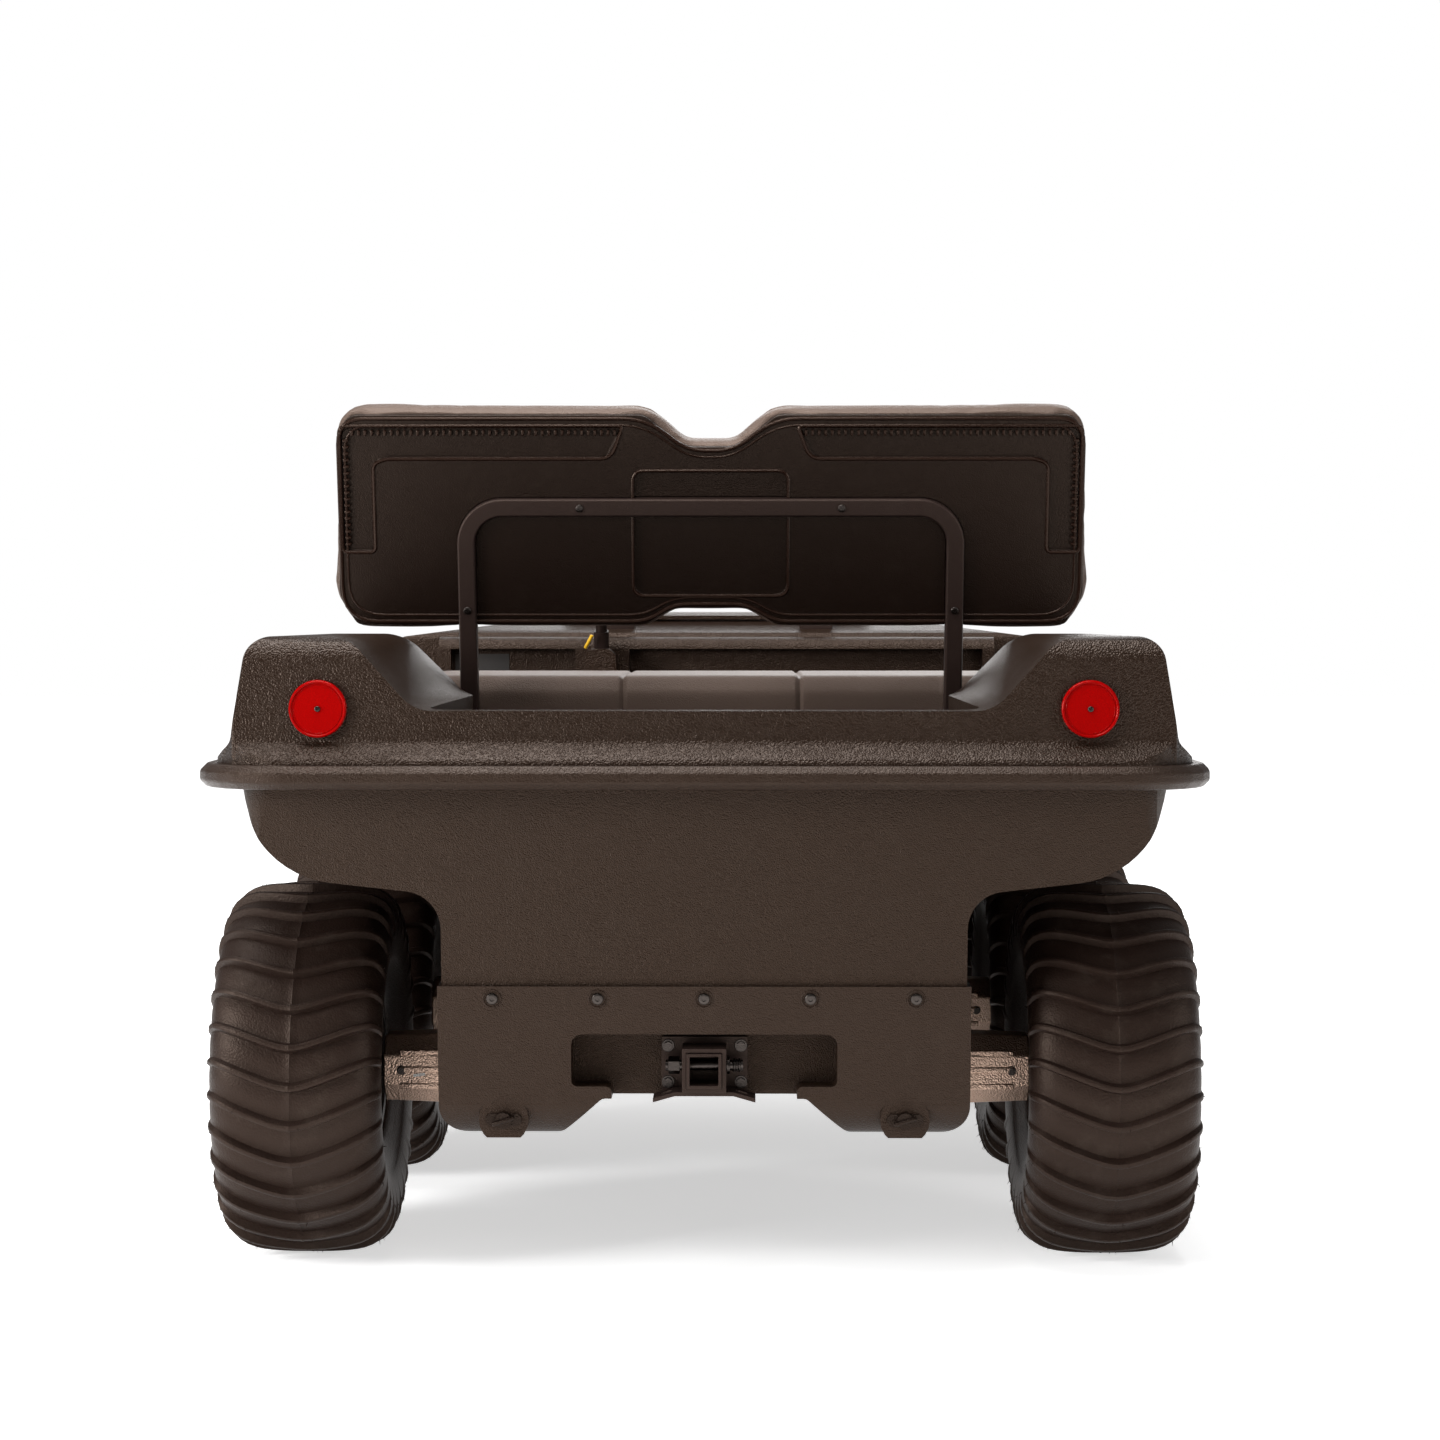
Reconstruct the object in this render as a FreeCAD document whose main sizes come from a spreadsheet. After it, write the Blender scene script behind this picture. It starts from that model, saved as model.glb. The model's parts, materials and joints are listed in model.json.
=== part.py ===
"""Amphibious six-wheel all terrain vehicle with a bench seat and a cargo well.

Right is +X, forward is +Y and up is +Z. The origin is on the ground, under the
middle of the vehicle. All sizes are in millimetres.
"""

import FreeCAD, Part
import Sketcher
import math
import os
from types import SimpleNamespace

Vector = FreeCAD.Vector

# Sizes that can be set by themselves: name, value, meaning.
DIMENSIONS = [
    # The body in plan
    ("overall_width", 1460, "rub rail, side to side"),
    ("rear_corner", 140, "rub rail corner radius at the rear"),
    ("bow_length", 475, "front edge back to where the sides close in"),
    ("bow_taper", 210, "how much each side closes in"),
    ("bow_corner", 210, "rub rail corner radius at the bow"),
    ("bow_shoulder", 320, "rub rail radius where the bow begins"),
    # The flange and its rub rail
    ("joint_height", 742, "where the two body halves meet"),
    ("rail_below", 17, "rail's underside under the joint"),
    ("rail_thickness", 34, "height of the rail"),
    ("rail_chamfer", 10, "chamfer on the rail's outer edges"),
    ("rail_depth", 24, "rail, outer edge to inner edge"),
    ("flange_inset", 8, "rub rail edge to flange edge"),
    ("flange_thickness", 8, "each of the two moulded flanges"),
    ("skin", 8, "wall of the moulded body"),
    # The lower hull
    ("hull_inset", 59, "rub rail edge to hull side"),
    ("hull_bottom", 222, "underside of the hull"),
    ("tunnel_rise", 57, "raised middle of the hull bottom"),
    ("runner_width", 166, "flat runner on each side of the tunnel"),
    ("tunnel_slope", 62, "run of the tunnel's sides"),
    ("tunnel_round", 16, "radius at the tunnel's corners"),
    ("wheel_space", 96, "tyre's inner side to the narrow lower hull"),
    ("keel_corner", 40, "radius along the hull's lower corners"),
    ("arch_clearance", 6, "wheel recess roof above the tyre, at the keel"),
    ("arch_rise", 28, "how much the recess roof rises outwards"),
    ("arch_corner", 55, "radius between keel side and recess roof"),
    ("chine_run", 46, "hull side to the outer end of the recess roof"),
    ("chine_round", 138, "radius of the hull's outer chine"),
    ("transom_inset", 65, "rub rail edge to rear wall, at the flange"),
    ("transom_rake", 58, "how far the rear wall leans"),
    ("transom_round", 60, "radius from rear wall to bottom"),
    ("bow_rise_length", 505, "front edge back to where the bottom rises"),
    ("bow_foot_round", 260, "radius where the bottom starts to rise"),
    ("stem_drop", 152, "bow's chin under the joint"),
    ("stem_setback", 100, "bow's chin behind the front edge"),
    ("stem_round", 120, "radius of the bow's chin"),
    # The upper body
    ("deck_inset", 25, "rub rail edge to upper body wall"),
    ("step_rise", 22, "top of the small step above the joint"),
    ("step_slope", 30, "run of the slope above the step"),
    ("step_climb", 26, "rise of the slope above the step"),
    ("wall_lean", 24, "how far the upper wall leans in"),
    ("coaming_rise", 93, "cockpit rim and rear lip above the joint"),
    ("edge_round", 38, "radius along the top edges"),
    ("edge_break", 3, "how far end rounds start above the flat tops"),
    ("form_sink", 60, "how far the deck forms start below the joint"),
    ("step_round", 12, "radius at the foot of the step"),
    ("side_foot_round", 20, "radius between the step and the side walls"),
    ("end_foot_round", 16, "radius between the step and the end walls"),
    ("coaming_round", 25, "radius along the side coamings"),
    ("lip_round", 22, "radius along the rear lip and the cowl's rear edge"),
    ("lip_end_round", 60, "radius where the rear lip meets the humps"),
    ("hump_inner_round", 72, "radius where the humps reach their tops"),
    ("hump_rear_round", 45, "radius along the rear of the humps"),
    ("hump_front_round", 110, "radius along the front of the humps"),
    ("crown_side_round", 150, "radius at the sides of the cowl's crown"),
    ("crown_front_round", 60, "radius across the cowl's crown"),
    ("crown_drop", 10, "cowl's side edges below its rear edge"),
    ("nose_round", 90, "radius at the top of the nose"),
    ("nose_foot_round", 30, "radius at the foot of the nose"),
    ("cargo_front_round", 20, "radius where the cargo well opens into the cockpit"),
    ("bay_rear_round", 40, "corner radius of the hood opening, rear"),
    ("bay_front_round", 60, "corner radius of the hood opening, front"),
    ("hump_rise", 199, "rear corner humps above the joint"),
    ("hump_margin", 222, "rub rail edge to the inner edge of the hump top"),
    ("hump_run", 96, "run of the hump's inner slope"),
    ("hump_slope_length", 120, "run of the hump's front slope"),
    ("hump_setback", 42, "hump's front foot forward of the cockpit's rear end"),
    ("cowl_length", 605, "front edge back to the cowl's rear face"),
    ("cowl_rise", 194, "cowl at its rear edge above the joint"),
    ("crown_rise", 226, "highest line of the cowl above the joint"),
    ("crown_setback", 100, "cowl's rear face to its highest line"),
    ("crown_margin", 400, "rub rail edge to the edge of the crown"),
    ("nose_rise", 138, "front edge of the hood above the joint"),
    ("nose_setback", 155, "front edge back to where the hood turns down"),
    ("nose_foot_rise", 58, "foot of the nose above the joint"),
    ("nose_foot_inset", 14, "how far the nose's foot leans back"),
    # The wells in the upper body
    ("cargo_margin", 330, "rub rail edge to the cargo well"),
    ("cargo_lip", 119, "rear edge to the cargo well"),
    ("cockpit_margin", 175, "rub rail edge to the cockpit"),
    ("well_corner", 50, "corner radius of the wells"),
    ("liner_drop", 130, "lower edge of the well walls under the joint"),
    ("bay_half_width", 285, "opening under the hood"),
    ("bay_setback", 100, "cowl's rear face to the opening under the hood"),
    ("bay_nose_gap", 50, "opening under the hood to the nose"),
    ("bay_lip", 30, "depth of the opening's upright lip"),
    # Hood lid
    ("lid_overlap", 32, "lid beyond the opening"),
    ("lid_gap", 5, "lid above the deck"),
    ("lid_skin", 8, "lid thickness"),
    ("hinge_radius", 6, "hood hinge pin"),
    ("hinge_eye", 11, "outside radius of the hood's hinge eyes"),
    ("hinge_length", 40, "hood hinge eye"),
    ("hinge_ear", 8, "thickness of the fixed hinge ears"),
    ("hinge_play", 5, "hinge eye to ear, along the pin"),
    ("hinge_side", 200, "hood hinges"),
    ("hinge_setback", 53, "hood hinge pin behind the opening"),
    ("hinge_rise", 6, "hood hinge pin above the crown"),
    # Wheels
    ("tyre_radius", 282, "to the lug tips"),
    ("tyre_width", 250, "side to side"),
    ("tread_half", 73, "half width of the lugs' full height"),
    ("shoulder_half", 112, "half width where the lugs run out"),
    ("shoulder_drop", 25, "lug tips to shoulder"),
    ("wall_radius", 215, "where the tyre is widest"),
    ("lug_height", 12, "lugs above the carcass"),
    ("lug_width", 15, "lugs along the tread"),
    ("lug_pairs", 15, "pairs of lugs round the tyre"),
    ("lug_lead", 40, "how far a lug's ends run ahead of its middle"),
    ("bead_radius", 112, "tyre bead on the rim"),
    ("rim_half_width", 96, "rim"),
    ("tyre_inset", 6, "rub rail edge to the tyre's outer side"),
    ("rear_overhang", 370, "rub rail's rear edge to rear axle"),
    ("axle_spacing", 690, "axle to axle"),
    ("front_overhang", 660, "front axle to the rub rail's front edge"),
    ("axle_radius", 16, "axle shaft"),
    ("axle_clearance", 0.3, "shaft to its housing"),
    ("housing_height", 108, "axle housing at the hull"),
    ("housing_tip", 100, "axle housing at the wheel"),
    ("housing_length", 112, "axle housing"),
    # Skid plate
    ("skid_thickness", 6, "skid plate"),
    ("skid_height", 216, "skid plate's upper edge above the hull bottom"),
    ("skid_wrap", 97, "side wrap, forward of the rear wall's foot"),
    ("skid_setback", 60, "skid plate's front end behind the bow's foot"),
    ("recess_rise", 146, "roof of the hitch recess above the hull bottom"),
    ("recess_half_width", 192, "hitch recess"),
    ("ledge_rise", 69, "ledges in the hitch recess above the hull bottom"),
    ("recess_depth", 35, "hitch recess, forward of the rear wall's foot"),
    # Hitch
    ("receiver_outer", 63.5, "receiver tube, outside"),
    ("receiver_inner", 51.5, "receiver tube, inside"),
    ("receiver_drop", 52, "receiver's middle under the recess roof"),
    ("receiver_length", 63, "receiver, mouth to the recess wall"),
    ("drawbar_outer", 50.8, "drawbar tube, outside"),
    ("drawbar_inner", 41.3, "drawbar tube, inside"),
    ("drawbar_proud", 4, "drawbar beyond the receiver's mouth"),
    ("hitch_plate_width", 125, "hitch mounting plate"),
    ("hitch_plate_height", 84, "hitch mounting plate"),
    ("hitch_plate_thickness", 8, "hitch mounting plate"),
    ("chain_plate_width", 148, "plate for the safety chains"),
    ("chain_plate_thickness", 6, "plate for the safety chains"),
    ("chain_plate_droop", 9, "how far the plate's wings hang down"),
    ("chain_hole_radius", 9, "safety chain holes"),
    ("chain_hole_spacing", 110, "between the safety chain holes"),
    ("pin_radius", 7.9, "hitch pin"),
    ("pin_length", 112, "hitch pin"),
    ("pin_rise", 4, "hitch pin above the receiver's middle"),
    ("pin_nut_radius", 13, "nut on the hitch pin, across its corners"),
    ("pin_nut_length", 16, "nut on the hitch pin"),
    ("pin_setback", 30, "hitch pin from the receiver's mouth"),
    # Drain plugs
    ("plug_margin", 88, "keel side to drain plug"),
    ("plug_rise", 20, "drain plug above the hull bottom"),
    ("plug_radius", 12, "drain plug"),
    ("plug_depth", 8, "drain plug beyond its flange"),
    ("plug_flange_half", 26, "drain plug flange, half its width"),
    ("plug_flange_round", 9, "drain plug flange, half its height"),
    ("plug_flange_thickness", 4, "drain plug flange"),
    ("plug_hood_radius", 36, "moulded hood over the drain plug"),
    ("plug_hood_depth", 10, "hood beyond the rear wall's foot"),
    # Interior
    ("floor_rise", 53, "top of the floor pan above the axles"),
    ("floor_thickness", 5, "floor pan"),
    ("floor_reach", 60, "floor pan, forward of the cowl's rear face"),
    ("leg_room", 400, "cowl's rear face to the seat base"),
    ("seat_base_length", 435, "seat base"),
    ("seat_rise", 48, "seat base above the joint"),
    ("seat_base_wall", 6, "seat base"),
    ("seating_gap", 0.3, "loose pieces to what they rest on"),
    ("cushion_rear_reach", 27, "seat cushion behind the seat base"),
    ("cushion_front_reach", 25, "seat cushion in front of the seat base"),
    ("cushion_side_gap", 10, "cockpit side to seat cushion"),
    ("cushion_height", 70, "seat cushion"),
    ("cushion_round", 22, "radius along the cushion's edges"),
    # Backrest
    ("recline", 12, "backrest lean in degrees"),
    ("frame_tube", 30, "square tube of the backrest frame"),
    ("frame_setback", 65, "seat base to frame, at the cushion's height"),
    ("frame_room", 52, "frame to the rear end of the cockpit"),
    ("frame_margin", 143, "cockpit side to the frame's leg"),
    ("frame_rise", 300, "upper bar above the cushion, along the lean"),
    ("leg_reach", 40, "legs below the seat base's top"),
    ("frame_bend", 62, "centre line radius of the frame's corners"),
    ("bracket_wall", 4, "channels that hold the frame's legs"),
    ("bracket_height", 30, "channels that hold the frame's legs"),
    ("back_margin", 85, "rub rail edge to backrest"),
    ("back_clearance", 82, "backrest above the cushion"),
    ("back_height", 388, "backrest"),
    ("back_corner", 45, "backrest corners"),
    ("back_notch_depth", 54, "notch in the backrest's top"),
    ("back_notch_half", 40, "half width of the notch floor"),
    ("back_notch_mouth", 106, "half width of the notch mouth"),
    ("back_lower_depth", 30, "notch in the backrest's bottom"),
    ("back_lower_half", 62, "half width of that notch floor"),
    ("back_lower_mouth", 106, "half width of that notch mouth"),
    ("shell_thickness", 26, "backrest shell"),
    ("shell_inset", 15, "pad edge to shell edge"),
    ("shell_pan_half", 130, "half width of the pressed pan in the shell"),
    ("shell_pan_height", 212, "pressed pan in the shell"),
    ("shell_pan_drop", 95, "pan's upper edge from the shell's upper edge"),
    ("shell_press", 7, "depth of the pan and the corner channels"),
    ("channel_width", 50, "corner channels in the shell"),
    ("channel_side_margin", 12, "corner channels from the shell's side"),
    ("channel_top_margin", 22, "corner channels from the shell's top"),
    ("channel_length", 468, "corner channels along the top"),
    ("channel_drop", 208, "corner channels down the side"),
    ("pad_thickness", 62, "backrest pad"),
    ("pad_lap", 8, "shell let into the pad"),
    # Dash and steering
    ("dash_thickness", 40, "dash panel"),
    ("dash_drop", 8, "dash panel's top under the cowl's rear edge"),
    ("dash_round", 26, "radius along the dash panel's top"),
    ("tray_depth", 24, "trays in the dash panel"),
    ("tray_height", 130, "trays in the dash panel"),
    ("tray_rim", 24, "dash panel round its trays"),
    ("column_side", 228, "steering column, left of the middle"),
    ("column_standoff", 38, "steering column from the dash panel"),
    ("column_tilt", 18, "steering column lean in degrees"),
    ("column_radius", 15, "steering column tube"),
    ("column_rise", 198, "top of the fixed column tube above the joint"),
    ("column_length", 180, "fixed column tube"),
    ("pedestal_width", 84, "steering pedestal"),
    ("pedestal_taper", 12, "steering pedestal, each side"),
    ("pedestal_rise", 163, "steering pedestal above the joint"),
    ("pedestal_drop", 42, "steering pedestal under the joint"),
    ("pedestal_depth", 42, "steering pedestal behind the column"),
    ("bar_radius", 11, "handlebar tube"),
    ("bar_half_width", 330, "handlebar"),
    ("bar_bend_half", 190, "handlebar's upper bends"),
    ("bar_clamp_half", 90, "handlebar's lower bends"),
    ("bar_bend", 45, "centre line radius of the handlebar's bends"),
    ("bar_rise", 150, "grips above the clamp"),
    ("bar_sweep", 60, "grips behind the clamp"),
    ("grip_radius", 16, "handlebar grip"),
    ("grip_length", 120, "handlebar grip"),
    # Engine
    ("engine_width", 400, "engine"),
    ("engine_length", 280, "engine"),
    ("engine_height", 280, "engine"),
    ("engine_drop", 242, "engine's underside under the joint"),
    ("engine_reach", 10, "engine behind the opening under the hood"),
    ("bearer_side", 150, "engine bearer"),
    ("bearer_width", 30, "engine bearer"),
    # Lamps
    ("reflector_radius", 41, "rear reflector"),
    ("reflector_thickness", 8, "rear reflector"),
    ("reflector_margin", 182, "rub rail edge to rear reflector"),
    ("reflector_rise", 96, "rear reflector above the joint"),
    ("headlamp_radius", 48, "headlamp"),
    ("headlamp_thickness", 10, "headlamp"),
    ("headlamp_margin", 190, "corner of the bow to headlamp"),
    # Tow eye at the bow
    ("tow_thickness", 24, "tow eye"),
    ("tow_drop", 112, "tow eye under the joint"),
    ("tow_half_height", 32, "tow eye"),
    ("tow_hole_radius", 13, "tow eye"),
    ("tow_setback", 42, "tow eye's hole behind the front edge"),
    ("tow_edge", 14, "metal round the tow eye's hole"),
]

# Places that follow from those sizes: name, expression.
PLACES = [
    ("half_width", "Dims.overall_width / 2"),
    ("overall_length", "Dims.rear_overhang + 2 * Dims.axle_spacing + Dims.front_overhang"),
    ("front_edge", "Places.overall_length / 2"),
    ("rear_edge", "-Places.overall_length / 2"),
    ("bow_start", "Places.front_edge - Dims.bow_length"),
    ("bow_half_width", "Places.half_width - Dims.bow_taper"),
    ("rail_bottom", "Dims.joint_height - Dims.rail_below"),
    ("hull_side", "Places.half_width - Dims.hull_inset"),
    ("tyre_inner", "Places.half_width - Dims.tyre_inset - Dims.tyre_width"),
    ("keel_half_width", "Places.tyre_inner - Dims.wheel_space"),
    ("tunnel_foot", "Places.keel_half_width - Dims.runner_width"),
    ("tunnel_half_width", "Places.tunnel_foot - Dims.tunnel_slope"),
    ("arch_inner_height", "2 * Dims.tyre_radius + Dims.arch_clearance"),
    ("arch_outer_height", "Places.arch_inner_height + Dims.arch_rise"),
    ("bulge_half_width", "Places.hull_side - Dims.chine_run"),
    ("transom_top", "Places.rear_edge + Dims.transom_inset"),
    ("transom_bottom", "Places.transom_top + Dims.transom_rake"),
    ("bow_foot", "Places.front_edge - Dims.bow_rise_length"),
    ("stem_height", "Dims.joint_height - Dims.stem_drop"),
    ("stem_place", "Places.front_edge - Dims.stem_setback"),
    ("step_height", "Dims.joint_height + Dims.step_rise"),
    ("coaming_height", "Dims.joint_height + Dims.coaming_rise"),
    ("hump_height", "Dims.joint_height + Dims.hump_rise"),
    ("hump_inner", "Places.half_width - Dims.hump_margin"),
    ("lip_half_width", "Places.hump_inner - Dims.hump_run"),
    ("cowl_rear", "Places.front_edge - Dims.cowl_length"),
    ("cowl_height", "Dims.joint_height + Dims.cowl_rise"),
    ("cowl_crown", "Dims.joint_height + Dims.crown_rise"),
    ("cowl_crown_place", "Places.cowl_rear + Dims.crown_setback"),
    ("cowl_crown_half", "Places.half_width - Dims.crown_margin"),
    ("nose_height", "Dims.joint_height + Dims.nose_rise"),
    ("nose_place", "Places.front_edge - Dims.nose_setback"),
    ("nose_low", "Dims.joint_height + Dims.nose_foot_rise"),
    ("cargo_half_width", "Places.half_width - Dims.cargo_margin"),
    ("cargo_rear", "Places.rear_edge + Dims.cargo_lip"),
    ("cockpit_half_width", "Places.half_width - Dims.cockpit_margin"),
    ("liner_bottom", "Dims.joint_height - Dims.liner_drop"),
    ("engine_bay_rear", "Places.cowl_rear + Dims.bay_setback"),
    ("engine_bay_front", "Places.nose_place - Dims.bay_nose_gap"),
    ("hinge_place", "Places.engine_bay_rear - Dims.hinge_setback"),
    ("hinge_height", "Places.cowl_crown + Dims.hinge_rise"),
    ("wheel_side", "Places.tyre_inner + Dims.tyre_width / 2"),
    ("rear_axle", "Places.rear_edge + Dims.rear_overhang"),
    ("skid_top", "Dims.hull_bottom + Dims.skid_height"),
    ("skid_wrap_end", "Places.transom_bottom + Dims.skid_wrap"),
    ("skid_front", "Places.bow_foot - Dims.skid_setback"),
    ("recess_height", "Dims.hull_bottom + Dims.recess_rise"),
    ("recess_ledge", "Dims.hull_bottom + Dims.ledge_rise"),
    ("recess_front", "Places.transom_bottom + Dims.recess_depth"),
    ("receiver_height", "Places.recess_height - Dims.receiver_drop"),
    ("receiver_rear", "Places.recess_front - Dims.receiver_length"),
    ("hitch_plate_rear", "Places.recess_front - Dims.hitch_plate_thickness"),
    ("pin_place", "Places.receiver_rear + Dims.pin_setback"),
    ("pin_height", "Places.receiver_height + Dims.pin_rise"),
    ("plug_side", "Places.keel_half_width - Dims.plug_margin"),
    ("plug_height", "Dims.hull_bottom + Dims.plug_rise"),
    ("plug_face", "Places.transom_bottom - Dims.plug_hood_depth"),
    ("floor_height", "Dims.tyre_radius + Dims.floor_rise"),
    ("seat_base_front", "Places.cowl_rear - Dims.leg_room"),
    ("seat_base_rear", "Places.seat_base_front - Dims.seat_base_length"),
    ("seat_base_top", "Dims.joint_height + Dims.seat_rise"),
    ("frame_foot_rear", "Places.seat_base_rear - Dims.frame_setback"),
    ("frame_foot_height", "Places.seat_base_top + Dims.cushion_height"),
    ("frame_half_width", "Places.cockpit_half_width - Dims.frame_margin"),
    ("frame_drop", "(Dims.cushion_height + Dims.leg_reach) / cos(Dims.recline * 1deg)"),
    ("cockpit_rear", "Places.frame_foot_rear - Dims.frame_room"),
    ("hump_foot", "Places.cockpit_rear + Dims.hump_setback"),
    ("hump_front", "Places.hump_foot - Dims.hump_slope_length"),
    ("back_half_width", "Places.half_width - Dims.back_margin"),
    ("dash_face", "Places.cowl_rear - Dims.dash_thickness"),
    ("dash_top", "Places.cowl_height - Dims.dash_drop"),
    ("dash_reach", "Places.cockpit_half_width - Dims.seating_gap"),
    ("column_place", "Places.dash_face - Dims.column_standoff"),
    ("column_top", "Dims.joint_height + Dims.column_rise"),
    ("engine_rear", "Places.engine_bay_rear - Dims.engine_reach"),
    ("engine_bottom", "Dims.joint_height - Dims.engine_drop"),
    ("reflector_side", "Places.half_width - Dims.reflector_margin"),
    ("reflector_height", "Dims.joint_height + Dims.reflector_rise"),
    ("headlamp_side", "Places.bow_half_width - Dims.headlamp_margin"),
    ("tow_height", "Dims.joint_height - Dims.tow_drop"),
    ("tow_hole_place", "Places.front_edge - Dims.tow_setback"),
]

document = FreeCAD.newDocument("amphibious_vehicle")
sheet = document.addObject("Spreadsheet::Sheet", "Dims")
for row, (name, value, meaning) in enumerate(DIMENSIONS, 1):
    sheet.set("A%d" % row, name)
    sheet.set("B%d" % row, str(value))
    sheet.set("C%d" % row, meaning)
    sheet.setAlias("B%d" % row, name)
document.recompute()
places = document.addObject("App::VarSet", "Places")
for name, _ in PLACES:
    places.addProperty("App::PropertyFloat", name, "Places")
for name, formula in PLACES:
    places.setExpression(name, formula)
document.recompute()
d = SimpleNamespace(
    **{name: float(sheet.get(name)) for name, _, _ in DIMENSIONS},
    **{name: getattr(places, name) for name, _ in PLACES},
)

half_width = d.half_width
front_edge = d.front_edge
rear_edge = d.rear_edge
axles = [
    ("rear", d.rear_axle),
    ("middle", d.rear_axle + d.axle_spacing),
    ("front", d.rear_axle + 2 * d.axle_spacing),
]
sides = [("left", -1), ("right", 1)]
FAR = 3000.0

nodes = []


def keep(feature, label):
    """Names a finished sub-part and puts it on the list to write."""
    feature.Label = label
    nodes.append(feature)
    return feature


def feature(label, shape, place=None):
    """A sub-part whose shape comes from Part's own functions."""
    item = document.addObject("Part::Feature", label)
    item.Shape = shape
    if place is not None:
        item.Placement = place
    return keep(item, label)


SMALL_ROUND = 30
COARSE = math.radians(31)
FINE = math.radians(16)


def rounded_wire(rows, to_point, chord_turn=None):
    """Closed wire through rows of (u, v, corner radius), with tangent arcs.

    Arcs under the small radius become chords, and so do all arcs where a
    largest turn from chord to chord is given. Hollow ones keep a fine turn.
    """
    rows = [row for i, row in enumerate(rows) if row[:2] != rows[i - 1][:2]]
    count = len(rows)
    area = sum(
        rows[i - 1][0] * rows[i][1] - rows[i][0] * rows[i - 1][1] for i in range(count)
    )
    arcs = []
    for i, (u, v, radius) in enumerate(rows):
        here = Vector(u, v, 0)
        before = Vector(rows[i - 1][0], rows[i - 1][1], 0) - here
        after = Vector(rows[(i + 1) % count][0], rows[(i + 1) % count][1], 0) - here
        before.normalize()
        after.normalize()
        if radius <= 0:
            arcs.append((here, None, here))
            continue
        half = before.getAngle(after) / 2
        reach = radius / math.tan(half)
        inward = before + after
        inward.normalize()
        middle = here + inward * (radius / math.sin(half) - radius)
        limit = chord_turn or (COARSE if radius < SMALL_ROUND else None)
        if limit and radius >= SMALL_ROUND and after.cross(before).z * area < 0:
            limit = min(limit, FINE)
        if limit:
            centre = here + inward * (radius / math.sin(half))
            start = here + before * reach - centre
            turn = math.pi - 2 * half
            chords = max(2, math.ceil(turn / limit))
            sense = 1 if start.cross(here + after * reach - centre).z > 0 else -1
            for step in range(chords + 1):
                angle = sense * turn * step / chords
                spot = centre + Vector(
                    start.x * math.cos(angle) - start.y * math.sin(angle),
                    start.x * math.sin(angle) + start.y * math.cos(angle),
                    0,
                )
                arcs.append((spot, None, spot))
            continue
        arcs.append((here + before * reach, middle, here + after * reach))
    count = len(arcs)
    edges = []
    for i, (start, middle, end) in enumerate(arcs):
        start, end = to_point(start.x, start.y), to_point(end.x, end.y)
        if middle is not None:
            edges.append(Part.Arc(start, to_point(middle.x, middle.y), end).toShape())
        next_start = to_point(arcs[(i + 1) % count][0].x, arcs[(i + 1) % count][0].y)
        if (next_start - end).Length > 1e-6:
            edges.append(Part.LineSegment(end, next_start).toShape())
    return Part.Wire(edges)


def mirrored(rows):
    """A half outline given from the middle outwards, and its mirror image."""
    return rows + [(-u, v, radius) for u, v, radius in reversed(rows)]


def prism(wire, run, inset=0.0):
    """Solid between a wire, moved inwards by inset, and its copy at run."""
    if inset:
        wire = wire.makeOffset2D(-inset, 2)
    return Part.Face(wire).extrude(run)


def cross_section(rows, rear, front, inset=0.0):
    """Outline in X and Z, run along Y."""
    wire = rounded_wire(rows, lambda u, v: Vector(u, rear, v), COARSE if inset > 0 else None)
    return prism(wire, Vector(0, front - rear, 0), inset)


def side_section(rows, half, inset=0.0):
    """Outline in Y and Z, run along X to both sides of the middle."""
    wire = rounded_wire(rows, lambda u, v: Vector(-half, u, v), COARSE if inset > 0 else None)
    return prism(wire, Vector(2 * half, 0, 0), inset)


def plan_section(rows, bottom, top, inset=0.0, chord_turn=None):
    """Outline in X and Y, run along Z."""
    wire = rounded_wire(rows, lambda u, v: Vector(u, v, bottom), chord_turn)
    return prism(wire, Vector(0, 0, top - bottom), inset)


def block(x0, x1, y0, y1, z0, z1):
    """A box between two corners."""
    return Part.makeBox(x1 - x0, y1 - y0, z1 - z0, Vector(x0, y0, z0))


def facet_ring(middle, axis, radius, count=12):
    """Regular polygon round an axis, as a wire."""
    turn = FreeCAD.Rotation(Vector(0, 0, 1), axis)
    points = [
        middle + turn.multVec(
            Vector(
                radius * math.cos(2 * math.pi * i / count),
                radius * math.sin(2 * math.pi * i / count),
                0,
            )
        )
        for i in range(count)
    ]
    return Part.makePolygon(points + points[:1])


def facet_rod(start, end, radius, count=12):
    """A bar of regular polygon section between two points."""
    run = end - start
    return Part.Face(facet_ring(start, run, radius, count)).extrude(run)


def fused(shapes):
    """One clean solid from several that meet."""
    return shapes[0].multiFuse(shapes[1:]).removeSplitter()


def tube(points, radius, bend):
    """A twelve-sided bar along points, each bend as three mitred turns."""
    path = open_path(points, bend)
    corners = [edge.valueAt(edge.FirstParameter) for edge in path.Edges[:1]]
    for edge in path.Edges:
        if edge.Curve.TypeId == "Part::GeomCircle":
            middle = (edge.FirstParameter + edge.LastParameter) / 2
            corners.append(edge.valueAt(middle))
        corners.append(edge.valueAt(edge.LastParameter))
    run = corners[1] - corners[0]
    ring = facet_ring(corners[0], run, radius)
    return Part.makePolygon(corners).makePipeShell([ring], True, False, 1)


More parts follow.
